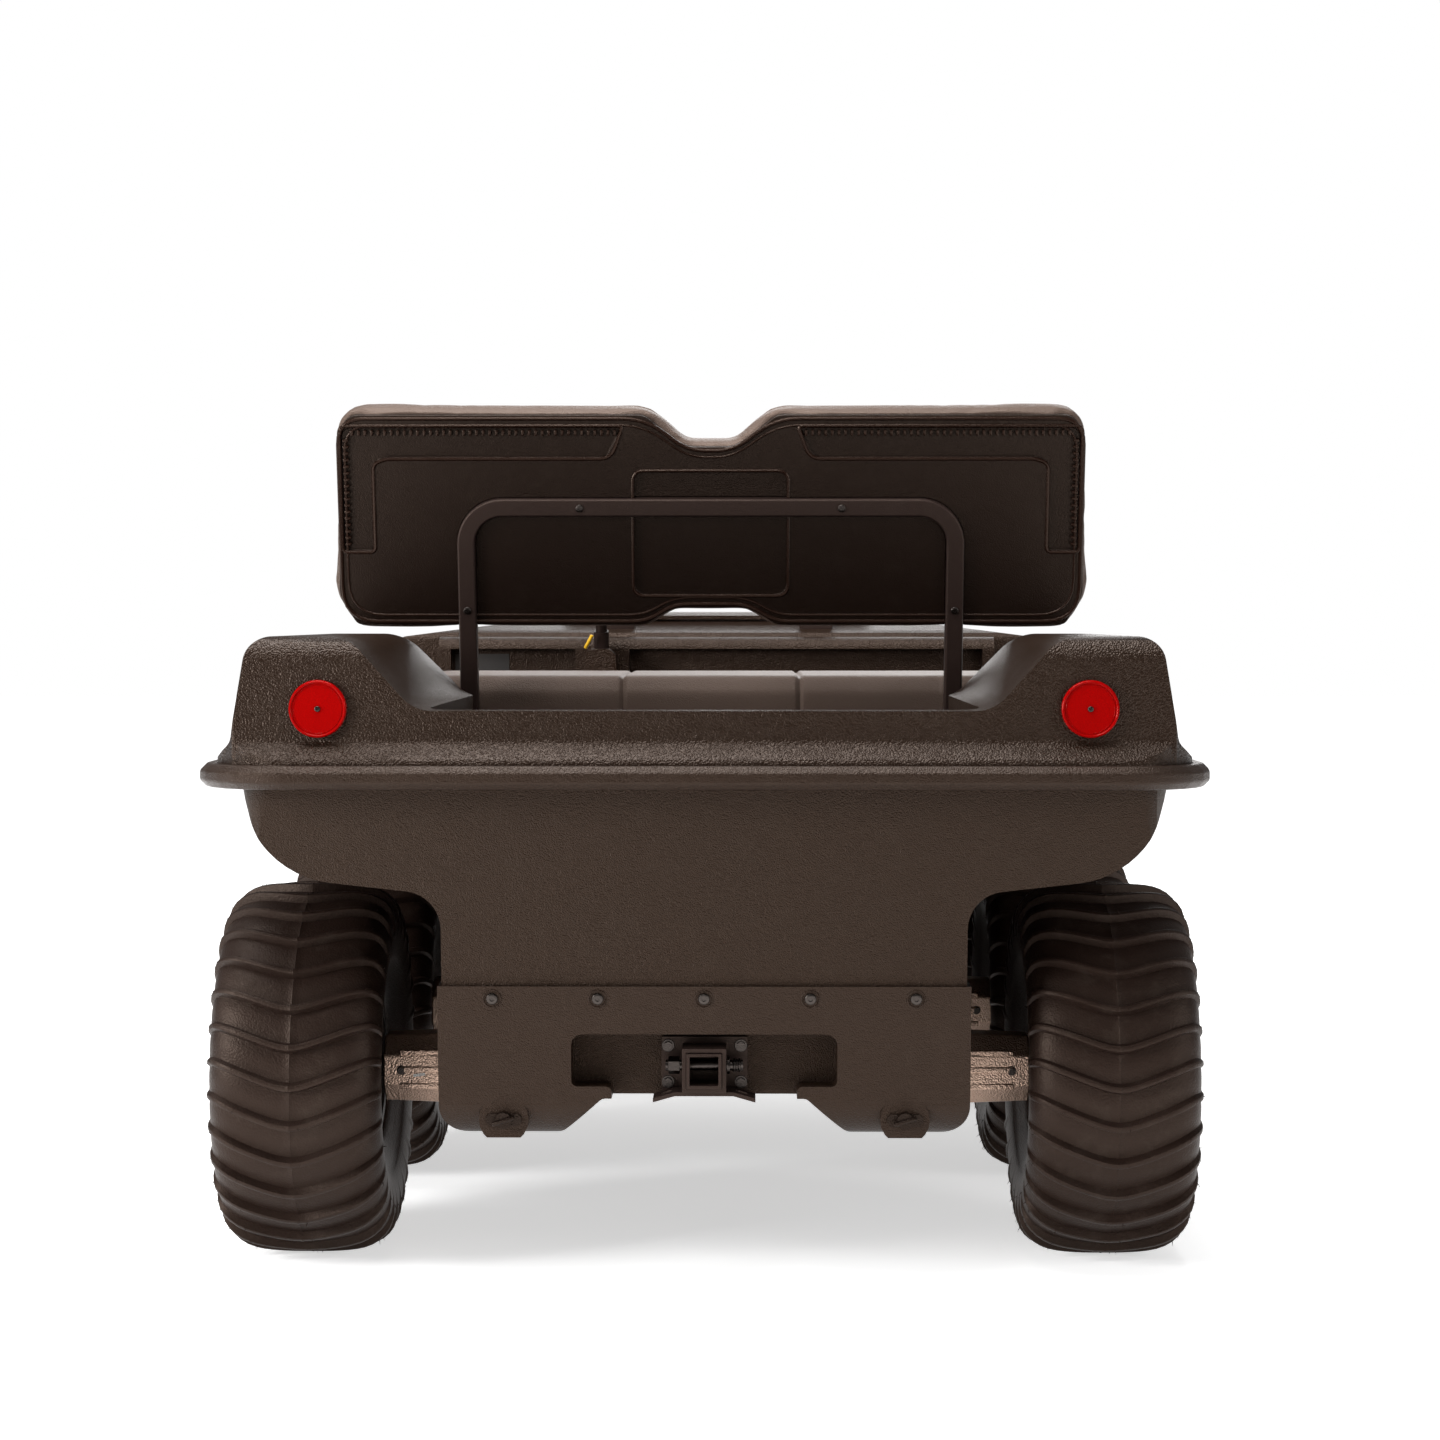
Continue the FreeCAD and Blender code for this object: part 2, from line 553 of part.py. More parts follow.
def open_path(points, bend):
    """Straight runs joined by tangent arcs."""
    edges = []
    last = points[0]
    for before, here, after in zip(points, points[1:], points[2:]):
        back = before - here
        on = after - here
        back.normalize()
        on.normalize()
        half = back.getAngle(on) / 2
        reach = bend / math.tan(half)
        inward = back + on
        inward.normalize()
        middle = here + inward * (bend / math.sin(half) - bend)
        start, end = here + back * reach, here + on * reach
        edges.append(Part.LineSegment(last, start).toShape())
        edges.append(Part.Arc(start, middle, end).toShape())
        last = end
    edges.append(Part.LineSegment(last, points[-1]).toShape())
    return Part.Wire(edges)


# Sketch helpers for the pieces that are made as PartDesign bodies.


def new_body(label):
    body = document.addObject("PartDesign::Body", label)
    body.Label = label
    return body


def new_sketch(body, name, role, offset=None):
    sketch = body.newObject("Sketcher::SketchObject", name)
    base = [f for f in body.Origin.OriginFeatures if f.Role == role][0]
    sketch.AttachmentSupport = (base, "")
    sketch.MapMode = "FlatFace"
    if offset:
        sketch.setExpression("AttachmentOffset.Base.z", offset)
    return sketch


def bind(sketch, constraint, expression):
    index = sketch.addConstraint(constraint)
    sketch.setExpression("Constraints[%d]" % index, expression)


def outline(body, name, role, points, offset=None):
    """Closed straight-sided sketch whose corners are held by expressions."""
    sketch = new_sketch(body, name, role, offset)
    count = len(points)
    start = [
        Vector(math.cos(2 * math.pi * i / count), math.sin(2 * math.pi * i / count), 0)
        for i in range(count)
    ]
    for i in range(count):
        sketch.addGeometry(Part.LineSegment(start[i] * 10, start[(i + 1) % count] * 10))
    for i in range(count):
        sketch.addConstraint(
            Sketcher.Constraint("Coincident", i, 2, (i + 1) % count, 1)
        )
    for i, (across, up) in enumerate(points):
        bind(sketch, Sketcher.Constraint("DistanceX", -1, 1, i, 1, 1.0), across)
        bind(sketch, Sketcher.Constraint("DistanceY", -1, 1, i, 1, 1.0), up)
    return sketch


def circle(body, name, role, across, up, radius, offset=None):
    """Sketch of a circle held by expressions."""
    sketch = new_sketch(body, name, role, offset)
    sketch.addGeometry(Part.Circle(Vector(1, 1, 0), Vector(0, 0, 1), 5))
    bind(sketch, Sketcher.Constraint("DistanceX", -1, 1, 0, 3, 1.0), across)
    bind(sketch, Sketcher.Constraint("DistanceY", -1, 1, 0, 3, 1.0), up)
    bind(sketch, Sketcher.Constraint("Radius", 0, 5.0), radius)
    return sketch


def pad(body, sketch, length, middle=False, back=False):
    item = body.newObject("PartDesign::Pad", sketch.Name + "_pad")
    item.Profile = sketch
    item.Midplane = middle
    item.Reversed = back
    item.setExpression("Length", length)
    sketch.Visibility = False
    return item


def pocket(body, sketch, length, middle=False, back=False):
    item = body.newObject("PartDesign::Pocket", sketch.Name + "_pocket")
    item.Profile = sketch
    item.Midplane = middle
    item.Reversed = back
    item.setExpression("Length", length)
    return item


def round_edges(body, base, radius, direction, test):
    """Fillet on the straight edges along a direction that pass a test."""
    document.recompute()
    item = body.newObject("PartDesign::Fillet", base.Name + "_round")
    item.Base = (base, edges_along(base.Shape, direction, test))
    item.setExpression("Radius", radius)
    return item


def bevel_edges(body, base, size, edges):
    item = body.newObject("PartDesign::Chamfer", base.Name + "_bevel")
    item.Base = (base, edges)
    item.setExpression("Size", size)
    return item


def edges_along(shape, direction, test=None):
    """Names of the straight edges that run along a direction."""
    names = []
    for i, edge in enumerate(shape.Edges, 1):
        if edge.Curve.TypeId != "Part::GeomLine":
            continue
        run = edge.tangentAt(edge.FirstParameter)
        if run.cross(direction).Length > 1e-6:
            continue
        if test is None or test(edge.CenterOfMass):
            names.append("Edge%d" % i)
    return names


# Helpers for the pieces that are made of Part's own primitives.


def set_base(item, spot):
    for axis, expression in zip("xyz", spot):
        item.setExpression("Placement.Base." + axis, expression)
    return item


def solid_box(name, spot, size):
    """Box with its low corner and its three sizes held by expressions."""
    item = document.addObject("Part::Box", name)
    for side, expression in zip(("Length", "Width", "Height"), size):
        item.setExpression(side, expression)
    return set_base(item, spot)


def solid_rod(name, radius, length, spot, along, facets=0):
    """Cylinder, or prism with flat sides, that starts at a spot."""
    item = document.addObject("Part::Prism" if facets else "Part::Cylinder", name)
    if facets:
        item.Polygon = facets
    item.setExpression("Circumradius" if facets else "Radius", radius)
    item.setExpression("Height", length)
    item.Placement = FreeCAD.Placement(
        Vector(), FreeCAD.Rotation(Vector(0, 0, 1), along)
    )
    return set_base(item, spot)


def cut_away(name, base, *tools):
    for number, tool in enumerate(tools, 1):
        stage = name if number == len(tools) else "%s_stage_%d" % (name, number)
        item = document.addObject("Part::Cut", stage)
        item.Base = base
        item.Tool = tool
        base = item
    return base


def merged(name, *shapes):
    item = document.addObject("Part::MultiFuse", name)
    item.Shapes = list(shapes)
    item.Refine = True
    return item


def overlap(name, *shapes):
    item = document.addObject("Part::MultiCommon", name)
    item.Shapes = list(shapes)
    return item


def helper(name, shape):
    """A form that other pieces are cut with and that isn't a piece itself."""
    item = document.addObject("Part::Feature", name)
    item.Shape = shape
    return item


def pair(label, right):
    """The right-hand piece and its mirror image, as one sub-part."""
    left = document.addObject("Part::Mirroring", label + "_mirrored")
    left.Source = right
    left.Normal = Vector(1, 0, 0)
    both = document.addObject("Part::Compound", label)
    both.Links = [left, right]
    return keep(both, label)


ALONG_X = Vector(1, 0, 0)
ALONG_Y = Vector(0, 1, 0)
ALONG_Z = Vector(0, 0, 1)


# Outlines of the moulded body.

plan_rows = mirrored(
    [
        (half_width, rear_edge, d.rear_corner),
        (half_width, d.bow_start, d.bow_shoulder),
        (d.bow_half_width, front_edge, d.bow_corner),
    ]
)


def body_plan(inset, bottom, top, chord_turn=FINE):
    """The body's plan outline, set in from the rub rail's edge."""
    return plan_section(plan_rows, bottom, top, inset, chord_turn)


def ring(outer_inset, inner_inset, bottom, top):
    """A flat ring that follows the body's plan outline."""
    return body_plan(outer_inset, bottom, top).cut(
        body_plan(inner_inset, bottom, top)
    )


def hull_section_rows(top):
    """Half of the hull's section: tunnel, keel, wheel recess and chine."""
    keel_corner = min(d.keel_corner, 0.8 * (d.keel_half_width - d.tunnel_foot))
    chine_round = min(d.chine_round, d.joint_height - d.arch_outer_height)
    return mirrored(
        [
            (d.tunnel_half_width, d.hull_bottom + d.tunnel_rise, d.tunnel_round),
            (d.tunnel_foot, d.hull_bottom, d.tunnel_round),
            (d.keel_half_width, d.hull_bottom, keel_corner),
            (d.keel_half_width, d.arch_inner_height, d.arch_corner),
            (d.bulge_half_width, d.arch_outer_height, chine_round),
            (d.hull_side, d.joint_height, 0),
            (d.hull_side, top, 0),
        ]
    )


def hull_side_rows(top):
    return [
        (d.transom_top, top, 0),
        (d.transom_top, d.joint_height, 0),
        (d.transom_bottom, d.hull_bottom - 1, d.transom_round),
        (d.bow_foot, d.hull_bottom - 1, d.bow_foot_round),
        (d.stem_place, d.stem_height, d.stem_round),
        (front_edge - d.hull_inset, d.joint_height, 0),
        (front_edge - d.hull_inset, top, 0),
    ]


def hull_form(inset, top):
    """The lower hull's outer form, or its inside when set in by the skin."""
    section = cross_section(hull_section_rows(top), rear_edge, front_edge, inset)
    side = side_section(hull_side_rows(top), half_width, inset)
    plan = body_plan(d.hull_inset + inset, 0, top, COARSE if inset > 0 else FINE)
    return section.common(side).common(plan)


def recess_form(wall):
    """The hitch recess in the rear of the hull, with a wall round it."""
    rows = mirrored(
        [
            (d.recess_half_width, d.recess_height, d.tunnel_round),
            (d.recess_half_width, d.recess_ledge, d.tunnel_round / 2),
            (d.tunnel_half_width - d.tunnel_round, d.recess_ledge, d.tunnel_round / 2),
            (d.tunnel_half_width - d.tunnel_round, 0, 0),
        ]
    )
    return cross_section(rows, rear_edge, d.recess_front + wall, -wall)


def make_lower_hull():
    """Tub with the wheel recesses outside it, a tunnel bottom and a flange."""
    outer = hull_form(0, d.joint_height).cut(recess_form(0))
    inside = hull_form(d.skin, d.joint_height + FAR / 10).cut(recess_form(d.skin))
    flange = ring(
        d.flange_inset,
        d.hull_inset + d.skin,
        d.joint_height - d.flange_thickness,
        d.joint_height,
    )
    shell = outer.cut(inside)
    hull = fused([shell, flange])
    bores = []
    for _, place in axles:
        for _, sign in sides:
            bores.append(
                facet_rod(
                    Vector(sign * d.tunnel_foot, place, d.tyre_radius),
                    Vector(sign * half_width, place, d.tyre_radius),
                    d.axle_radius + d.hinge_play,
                )
            )
    return feature("lower_hull", hull.cut(bores).removeSplitter())


def wall_rows(top, radius):
    """Outer wall of the upper body, from the flange to a top edge."""
    outer = half_width - d.deck_inset
    return [
        (outer, d.joint_height - d.form_sink, 0),
        (outer, d.step_height, d.step_round),
        (outer - d.step_slope, d.step_height + d.step_climb, d.side_foot_round),
        (outer - d.step_slope - d.wall_lean, top, radius),
    ]


def end_rows(place, sense, top, radius):
    """Rear or front wall of the upper body as rows of Y and Z."""
    return [
        (place, d.joint_height - d.form_sink, 0),
        (place, d.step_height, d.step_round),
        (
            place - sense * d.step_slope,
            d.step_height + d.step_climb,
            d.end_foot_round,
        ),
        (place - sense * (d.step_slope + d.wall_lean / 2), top, radius),
    ]


def deck_form(inset):
    """The upper body's form, or its inside when set in by the skin."""
    rear = rear_edge + d.deck_inset
    front = front_edge - d.deck_inset
    turn = COARSE if inset > 0 else FINE
    plan = body_plan(d.deck_inset + inset, d.joint_height - d.form_sink + d.skin, FAR, turn)

    low_section = mirrored(list(reversed(wall_rows(d.coaming_height, d.coaming_round))))
    low_top = d.coaming_height + d.edge_break
    low_side = end_rows(rear, -1, low_top, d.lip_round) + [
        (d.cowl_crown_place, low_top, 0),
        (d.cowl_crown_place, d.joint_height - d.form_sink, 0),
    ]
    low = cross_section(low_section, rear_edge, front_edge, inset).common(
        side_section(low_side, half_width, inset)
    )

    hump_section = mirrored(
        [
            (d.lip_half_width, d.coaming_height, d.lip_end_round),
            (d.hump_inner, d.hump_height, d.hump_inner_round),
        ]
        + list(reversed(wall_rows(d.hump_height, d.edge_round)))
    )
    hump_top = d.hump_height + d.edge_break
    hump_side = end_rows(rear, -1, hump_top, d.hump_rear_round) + [
        (d.hump_front, hump_top, d.hump_front_round),
        (d.hump_foot, d.coaming_height - d.lip_round, 0),
        (d.hump_foot, d.joint_height - d.form_sink, 0),
    ]
    hump = cross_section(hump_section, rear_edge, front_edge, inset).common(
        side_section(hump_side, half_width, inset)
    )

    cowl_section = mirrored(
        [(d.cowl_crown_half, d.cowl_crown, d.crown_side_round)]
        + list(reversed(wall_rows(d.cowl_height - d.crown_drop, d.edge_round)))
    )
    cowl_side = [
        (d.cowl_rear, d.joint_height - d.form_sink, 0),
        (d.cowl_rear, d.cowl_height, d.lip_round),
        (d.cowl_crown_place, d.cowl_crown, d.crown_front_round),
        (d.nose_place, d.nose_height, d.nose_round),
        (front - d.nose_foot_inset, d.nose_low, d.nose_foot_round),
        (front, d.step_height, d.step_round),
        (front, d.joint_height - d.form_sink, 0),
    ]
    cowl = cross_section(cowl_section, rear_edge, front_edge, inset).common(
        side_section(cowl_side, half_width, inset)
    )
    return fused([low, hump, cowl]).common(plan)


def well_rows():
    """Plan of the cargo well and the wider cockpit as one opening."""
    return mirrored(
        [
            (d.cargo_half_width, d.cargo_rear, d.well_corner),
            (d.cargo_half_width, d.cockpit_rear, d.cargo_front_round),
            (d.cockpit_half_width, d.cockpit_rear, d.well_corner),
            (d.cockpit_half_width, d.cowl_rear, 0),
        ]
    )


def bay_rows():
    """Plan of the opening under the hood."""
    return mirrored(
        [
            (d.bay_half_width, d.engine_bay_rear, d.bay_rear_round),
            (d.bay_half_width, d.engine_bay_front, d.bay_front_round),
        ]
    )


def make_upper_body():
    """Deck with rear humps, cowl and nose, and walls round its wells."""
    outer = deck_form(0)
    inside = deck_form(d.skin)
    above_joint = block(
        -half_width, half_width, rear_edge, front_edge, d.joint_height, FAR
    )
    flange = ring(
        d.flange_inset,
        d.deck_inset + d.skin,
        d.joint_height,
        d.joint_height + d.flange_thickness,
    )
    well_wall = plan_section(well_rows(), d.liner_bottom, FAR, -d.skin, COARSE)
    bay_lip = plan_section(
        bay_rows(), d.nose_height - d.bay_lip, FAR, -d.skin, COARSE
    ).common(outer)
    upper_wall = well_wall.common(outer)
    lower_wall = plan_section(
        well_rows(), d.liner_bottom, d.joint_height, -d.skin, COARSE
    )
    shell = outer.cut(inside).common(above_joint)
    deck = fused([shell, flange, upper_wall, lower_wall, bay_lip])
    deck = deck.cut(plan_section(well_rows(), 0, FAR, 0, COARSE))
    deck = deck.cut(plan_section(bay_rows(), 0, FAR, 0, COARSE))
    return feature("upper_body", deck.removeSplitter())


def make_rub_rail():
    """Rail that clips over the two flanges all round the body."""
    top = d.rail_bottom + d.rail_thickness
    rail = ring(0, d.rail_depth, d.rail_bottom, top)
    inner = body_plan(d.rail_depth / 2, 0, FAR)
    outer_edges = [
        edge
        for edge in rail.Edges
        if edge.BoundBox.ZLength < 1e-6
        and not inner.isInside(edge.valueAt(edge.FirstParameter), 1e-6, True)
    ]
    rail = rail.makeChamfer(d.rail_chamfer, outer_edges)
    groove = body_plan(
        d.flange_inset - 1,
        d.joint_height - d.flange_thickness,
        d.joint_height + d.flange_thickness,
    )
    return feature("rub_rail", rail.cut(groove))


def make_skid_plate():
    """Plate under the hull that wraps up the rear wall round the hitch."""
    outer = hull_form(-d.skid_thickness, d.joint_height)
    core = hull_form(0, d.joint_height + d.skin)
    under = block(
        -half_width,
        half_width,
        rear_edge,
        d.skid_front,
        0,
        d.hull_bottom + d.skid_thickness,
    )
    rear = block(
        -d.keel_half_width - 2 * d.skid_thickness,
        d.keel_half_width + 2 * d.skid_thickness,
        rear_edge,
        d.skid_wrap_end,
        0,
        d.skid_top,
    )
    plate = outer.cut(core).common(fused([under, rear])).cut(recess_form(0))
    hoods = []
    for _, sign in sides:
        spot = sign * d.plug_side
        hood = facet_rod(
            Vector(spot, d.plug_face, d.plug_height),
            Vector(spot, d.transom_bottom + d.transom_round, d.plug_height),
            d.plug_hood_radius,
            20,
        )
        hoods.append(hood.cut(core))
    floor = block(-half_width, half_width, rear_edge, 0, 0, d.hull_bottom - d.skid_thickness)
    plate = fused([plate] + hoods).cut(floor)
    return feature("skid_plate", plate)

# Forms of the hull's inside that other pieces fit into.

hull_room = helper(
    "hull_room",
    hull_form(d.skin + d.seating_gap, FAR / 2).cut(recess_form(d.skin + d.seating_gap)),
)
seat_room = helper(
    "seat_room", hull_form(d.skin + d.seating_gap + d.seat_base_wall, FAR / 2)
)


def make_floor_pan():
    """Flat floor over the axles."""
    slab = solid_box(
        "floor_slab",
        (
            "-Places.half_width",
            "Places.rear_edge",
            "Places.floor_height - Dims.floor_thickness",
        ),
        (
            "Dims.overall_width",
            "Places.cowl_rear + Dims.floor_reach - Places.rear_edge",
            "Dims.floor_thickness",
        ),
    )
    return keep(overlap("floor_pan", slab, hull_room), "floor_pan")


def make_seat_base():
    """Box under the bench that follows the inside of the hull."""
    block_outside = solid_box(
        "seat_block",
        (
            "-Places.dash_reach",
            "Places.seat_base_rear",
            "Places.floor_height + Dims.seating_gap",
        ),
        (
            "2 * Places.dash_reach",
            "Dims.seat_base_length",
            "Places.seat_base_top - Places.floor_height - Dims.seating_gap",
        ),
    )
    block_inside = solid_box(
        "seat_space",
        (
            "Dims.seat_base_wall - Places.dash_reach",
            "Places.seat_base_rear + Dims.seat_base_wall",
            "Places.floor_height",
        ),
        (
            "2 * (Places.dash_reach - Dims.seat_base_wall)",
            "Dims.seat_base_length - 2 * Dims.seat_base_wall",
            "Places.seat_base_top - Places.floor_height - Dims.seat_base_wall",
        ),
    )
    outside = overlap("seat_outside", block_outside, hull_room)
    inside = overlap("seat_inside", block_inside, seat_room)
    return keep(cut_away("seat_base", outside, inside), "seat_base")


def make_cushion():
    """Bench cushion on the seat base."""
    body = new_body("seat_cushion")
    rear = "Places.seat_base_rear - Dims.cushion_rear_reach"
    front = "Places.seat_base_front + Dims.cushion_front_reach"
    low = "Places.seat_base_top"
    high = "Places.seat_base_top + Dims.cushion_height"
    profile = outline(
        body,
        "cushion_side",
        "YZ_Plane",
        [(rear, low), (front, low), (front, high), (rear, high)],
    )
    width = "2 * (Places.cockpit_half_width - Dims.cushion_side_gap)"
    block = pad(body, profile, width, middle=True)
    document.recompute()
    top = d.seat_base_top + d.cushion_height
    edges = []
    for direction in (ALONG_X, ALONG_Y):
        edges += edges_along(block.Shape, direction, lambda spot: spot.z > top - 1)
    bevel_edges(body, block, "Dims.cushion_round", edges)
    return keep(body, "seat_cushion")


# The backrest is drawn upright, with its rear towards -Y, and then leaned.

back_place = FreeCAD.Placement(
    Vector(0, d.frame_foot_rear, d.frame_foot_height),
    FreeCAD.Rotation(Vector(1, 0, 0), d.recline),
)
back_top = d.back_clearance + d.back_height
shell_rear = d.frame_tube / 2 - 14


def back_rows():
    """Backrest outline, drawn from the notch in its top outwards."""
    low = d.back_clearance
    return mirrored(
        [
            (d.back_notch_half, back_top - d.back_notch_depth, 40),
            (d.back_notch_mouth, back_top, 45),
            (d.back_half_width - 12, back_top, d.back_corner),
            (d.back_half_width, low + 60, 60),
            (d.back_half_width - 36, low, 30),
            (d.back_lower_mouth, low, 40),
            (d.back_lower_half, low + d.back_lower_depth, 40),
        ]
    )


def back_slab(rear, thickness, inset, chord_turn=FINE):
    wire = rounded_wire(back_rows(), lambda u, v: Vector(u, rear, v), chord_turn)
    return prism(wire, Vector(0, thickness, 0), inset)


def groove_form():
    """Square bar along the frame's bent centre line, with clearance."""
    side = d.frame_half_width
    low = -d.frame_drop
    path = open_path(
        [
            Vector(-side, 0, low),
            Vector(-side, 0, d.frame_rise),
            Vector(side, 0, d.frame_rise),
            Vector(side, 0, low),
        ],
        d.frame_bend,
    )
    half = d.frame_tube / 2 + d.seating_gap
    corners = [
        Vector(-side - half, -half, low),
        Vector(-side + half, -half, low),
        Vector(-side + half, half, low),
        Vector(-side - half, half, low),
    ]
    section = Part.makePolygon(corners + corners[:1])
    return path.makePipeShell([section], True, False)


def make_back_frame():
    """Square bar bent into a hoop, with its feet on the seat base."""
    body = new_body("seat_back_frame")
    outside = "Places.frame_half_width + Dims.frame_tube / 2"
    inside = "Places.frame_half_width - Dims.frame_tube / 2"
    top = "Dims.frame_rise + Dims.frame_tube / 2"
    under = "Dims.frame_rise - Dims.frame_tube / 2"
    foot = "-Places.frame_drop"
    hoop = outline(
        body,
        "hoop",
        "XZ_Plane",
        [
            ("-(%s)" % outside, foot),
            ("-(%s)" % inside, foot),
            ("-(%s)" % inside, under),
            (inside, under),
            (inside, foot),
            (outside, foot),
            (outside, top),
            ("-(%s)" % outside, top),
        ],
    )
    bar = pad(body, hoop, "Dims.frame_tube", middle=True)
    outer = round_edges(
        body,
        bar,
        "Dims.frame_bend + Dims.frame_tube / 2",
        ALONG_Y,
        lambda spot: spot.z > d.frame_rise,
    )
    round_edges(
        body,
        outer,
        "Dims.frame_bend - Dims.frame_tube / 2",
        ALONG_Y,
        lambda spot: 0 < spot.z < d.frame_rise,
    )
    body.Placement = back_place
    return keep(body, "seat_back_frame")


def make_backrest():
    """Moulded shell with a pressed pan and corner channels, and its pad."""
    shell = back_slab(shell_rear, d.shell_thickness, d.shell_inset)
    face = shell_rear - 1
    depth = d.shell_press + 1
    shell_top = back_top - d.shell_inset
    pan_top = shell_top - d.shell_pan_drop
    pan_rows = mirrored([(d.shell_pan_half, pan_top, 20)])
    pan_rows += mirrored([(d.shell_pan_half, pan_top - d.shell_pan_height, 20)])[::-1]
    wire = rounded_wire(pan_rows, lambda u, v: Vector(u, face, v), COARSE)
    pressed = [prism(wire, Vector(0, depth, 0))]
    top = shell_top - d.channel_top_margin
    width = d.channel_width
    for _, sign in sides:
        end = sign * (d.back_half_width - d.shell_inset - d.channel_side_margin)
        tip = end - sign * d.channel_length
        step = sign * width
        rows = [
            (end, top - d.channel_drop, 0),
            (end, top, 14),
            (tip, top, 0),
            (tip + step / 2, top - width, 0),
            (end - step, top - width, 24),
            (end - step, top - d.channel_drop, 0),
        ]
        wire = rounded_wire(rows, lambda u, v: Vector(u, face, v), COARSE)
        pressed.append(prism(wire, Vector(0, depth, 0)))
    groove = groove_form()
    feature("seat_back_shell", shell.cut(pressed).cut(groove), back_place)

    let_in = d.shell_thickness - d.pad_lap
    cushion = back_slab(shell_rear + d.pad_lap, d.pad_thickness, 0, COARSE)
    hollow = back_slab(
        shell_rear + d.pad_lap - 1,
        let_in + 1 + d.seating_gap,
        d.shell_inset - d.seating_gap,
    )
    feature("seat_back_pad", cushion.cut(hollow).cut(groove), back_place)


def make_back_brackets():
    """Channels on the seat base that hold the frame's legs."""
    lean = math.radians(d.recline)
    low = d.frame_foot_height - d.frame_drop * math.cos(lean)
    half = "(Dims.frame_tube / 2 + Dims.seating_gap)"
    wall = "Dims.bracket_wall"
    height = "Dims.bracket_height"
    foot = "Places.frame_foot_height - Places.frame_drop * cos(Dims.recline * 1deg)"
    start = "%s + 2 * %s" % (foot, wall)
    rear = "Places.frame_foot_rear - Dims.frame_tube - 2 * Dims.bracket_wall"
    channel = solid_box(
        "bracket_block",
        ("Places.frame_half_width - %s - %s" % (half, wall), rear, start),
        ("2 * (%s + %s)" % (half, wall), "Places.seat_base_rear - (%s)" % rear, height),
    )
    leg = document.addObject("Part::Box", "bracket_leg")
    leg.setExpression("Length", "2 * %s" % half)
    leg.setExpression("Width", "2 * %s" % half)
    leg.setExpression("Height", "2 * Places.frame_drop")
    turn = FreeCAD.Rotation(Vector(1, 0, 0), d.recline)
    clear = d.frame_tube / 2 + d.seating_gap
    corner = turn.multVec(Vector(-clear, -clear, -1.5 * d.frame_drop))
    middle = Vector(d.frame_half_width, d.frame_foot_rear, d.frame_foot_height)
    leg.Placement = FreeCAD.Placement(middle + corner, turn)
    high = low + 2 * d.bracket_wall + d.bracket_height
    open_end = d.frame_foot_rear + math.tan(lean) * (d.frame_foot_height - high)
    mouth = document.addObject("Part::Box", "bracket_mouth")
    mouth.setExpression("Length", "2 * %s" % half)
    mouth.setExpression("Width", "3 * Dims.frame_tube")
    mouth.setExpression("Height", "2 * %s" % height)
    mouth.Placement.Base = Vector(
        d.frame_half_width - clear, open_end - 3 * d.frame_tube, low - d.bracket_height / 2
    )
    return pair("back_brackets", cut_away("bracket", channel, leg, mouth))


def column_point(along):
    """A point on the steering axis, measured from the fixed tube's top."""
    top = Vector(-d.column_side, d.column_place, d.column_top)
    return top + column_axis * along


column_axis = Vector(
    0,
    -math.sin(math.radians(d.column_tilt)),
    math.cos(math.radians(d.column_tilt)),
)
column_turn = FreeCAD.Rotation(Vector(0, 0, 1), column_axis)


def along_column(name, radius, start, length, facets=12):
    """Bar on the steering axis, its sizes held by expressions."""
    item = document.addObject("Part::Prism", name)
    item.Polygon = facets
    item.setExpression("Circumradius", radius)
    item.setExpression("Height", length)
    item.Placement = FreeCAD.Placement(column_point(start), column_turn)
    return item


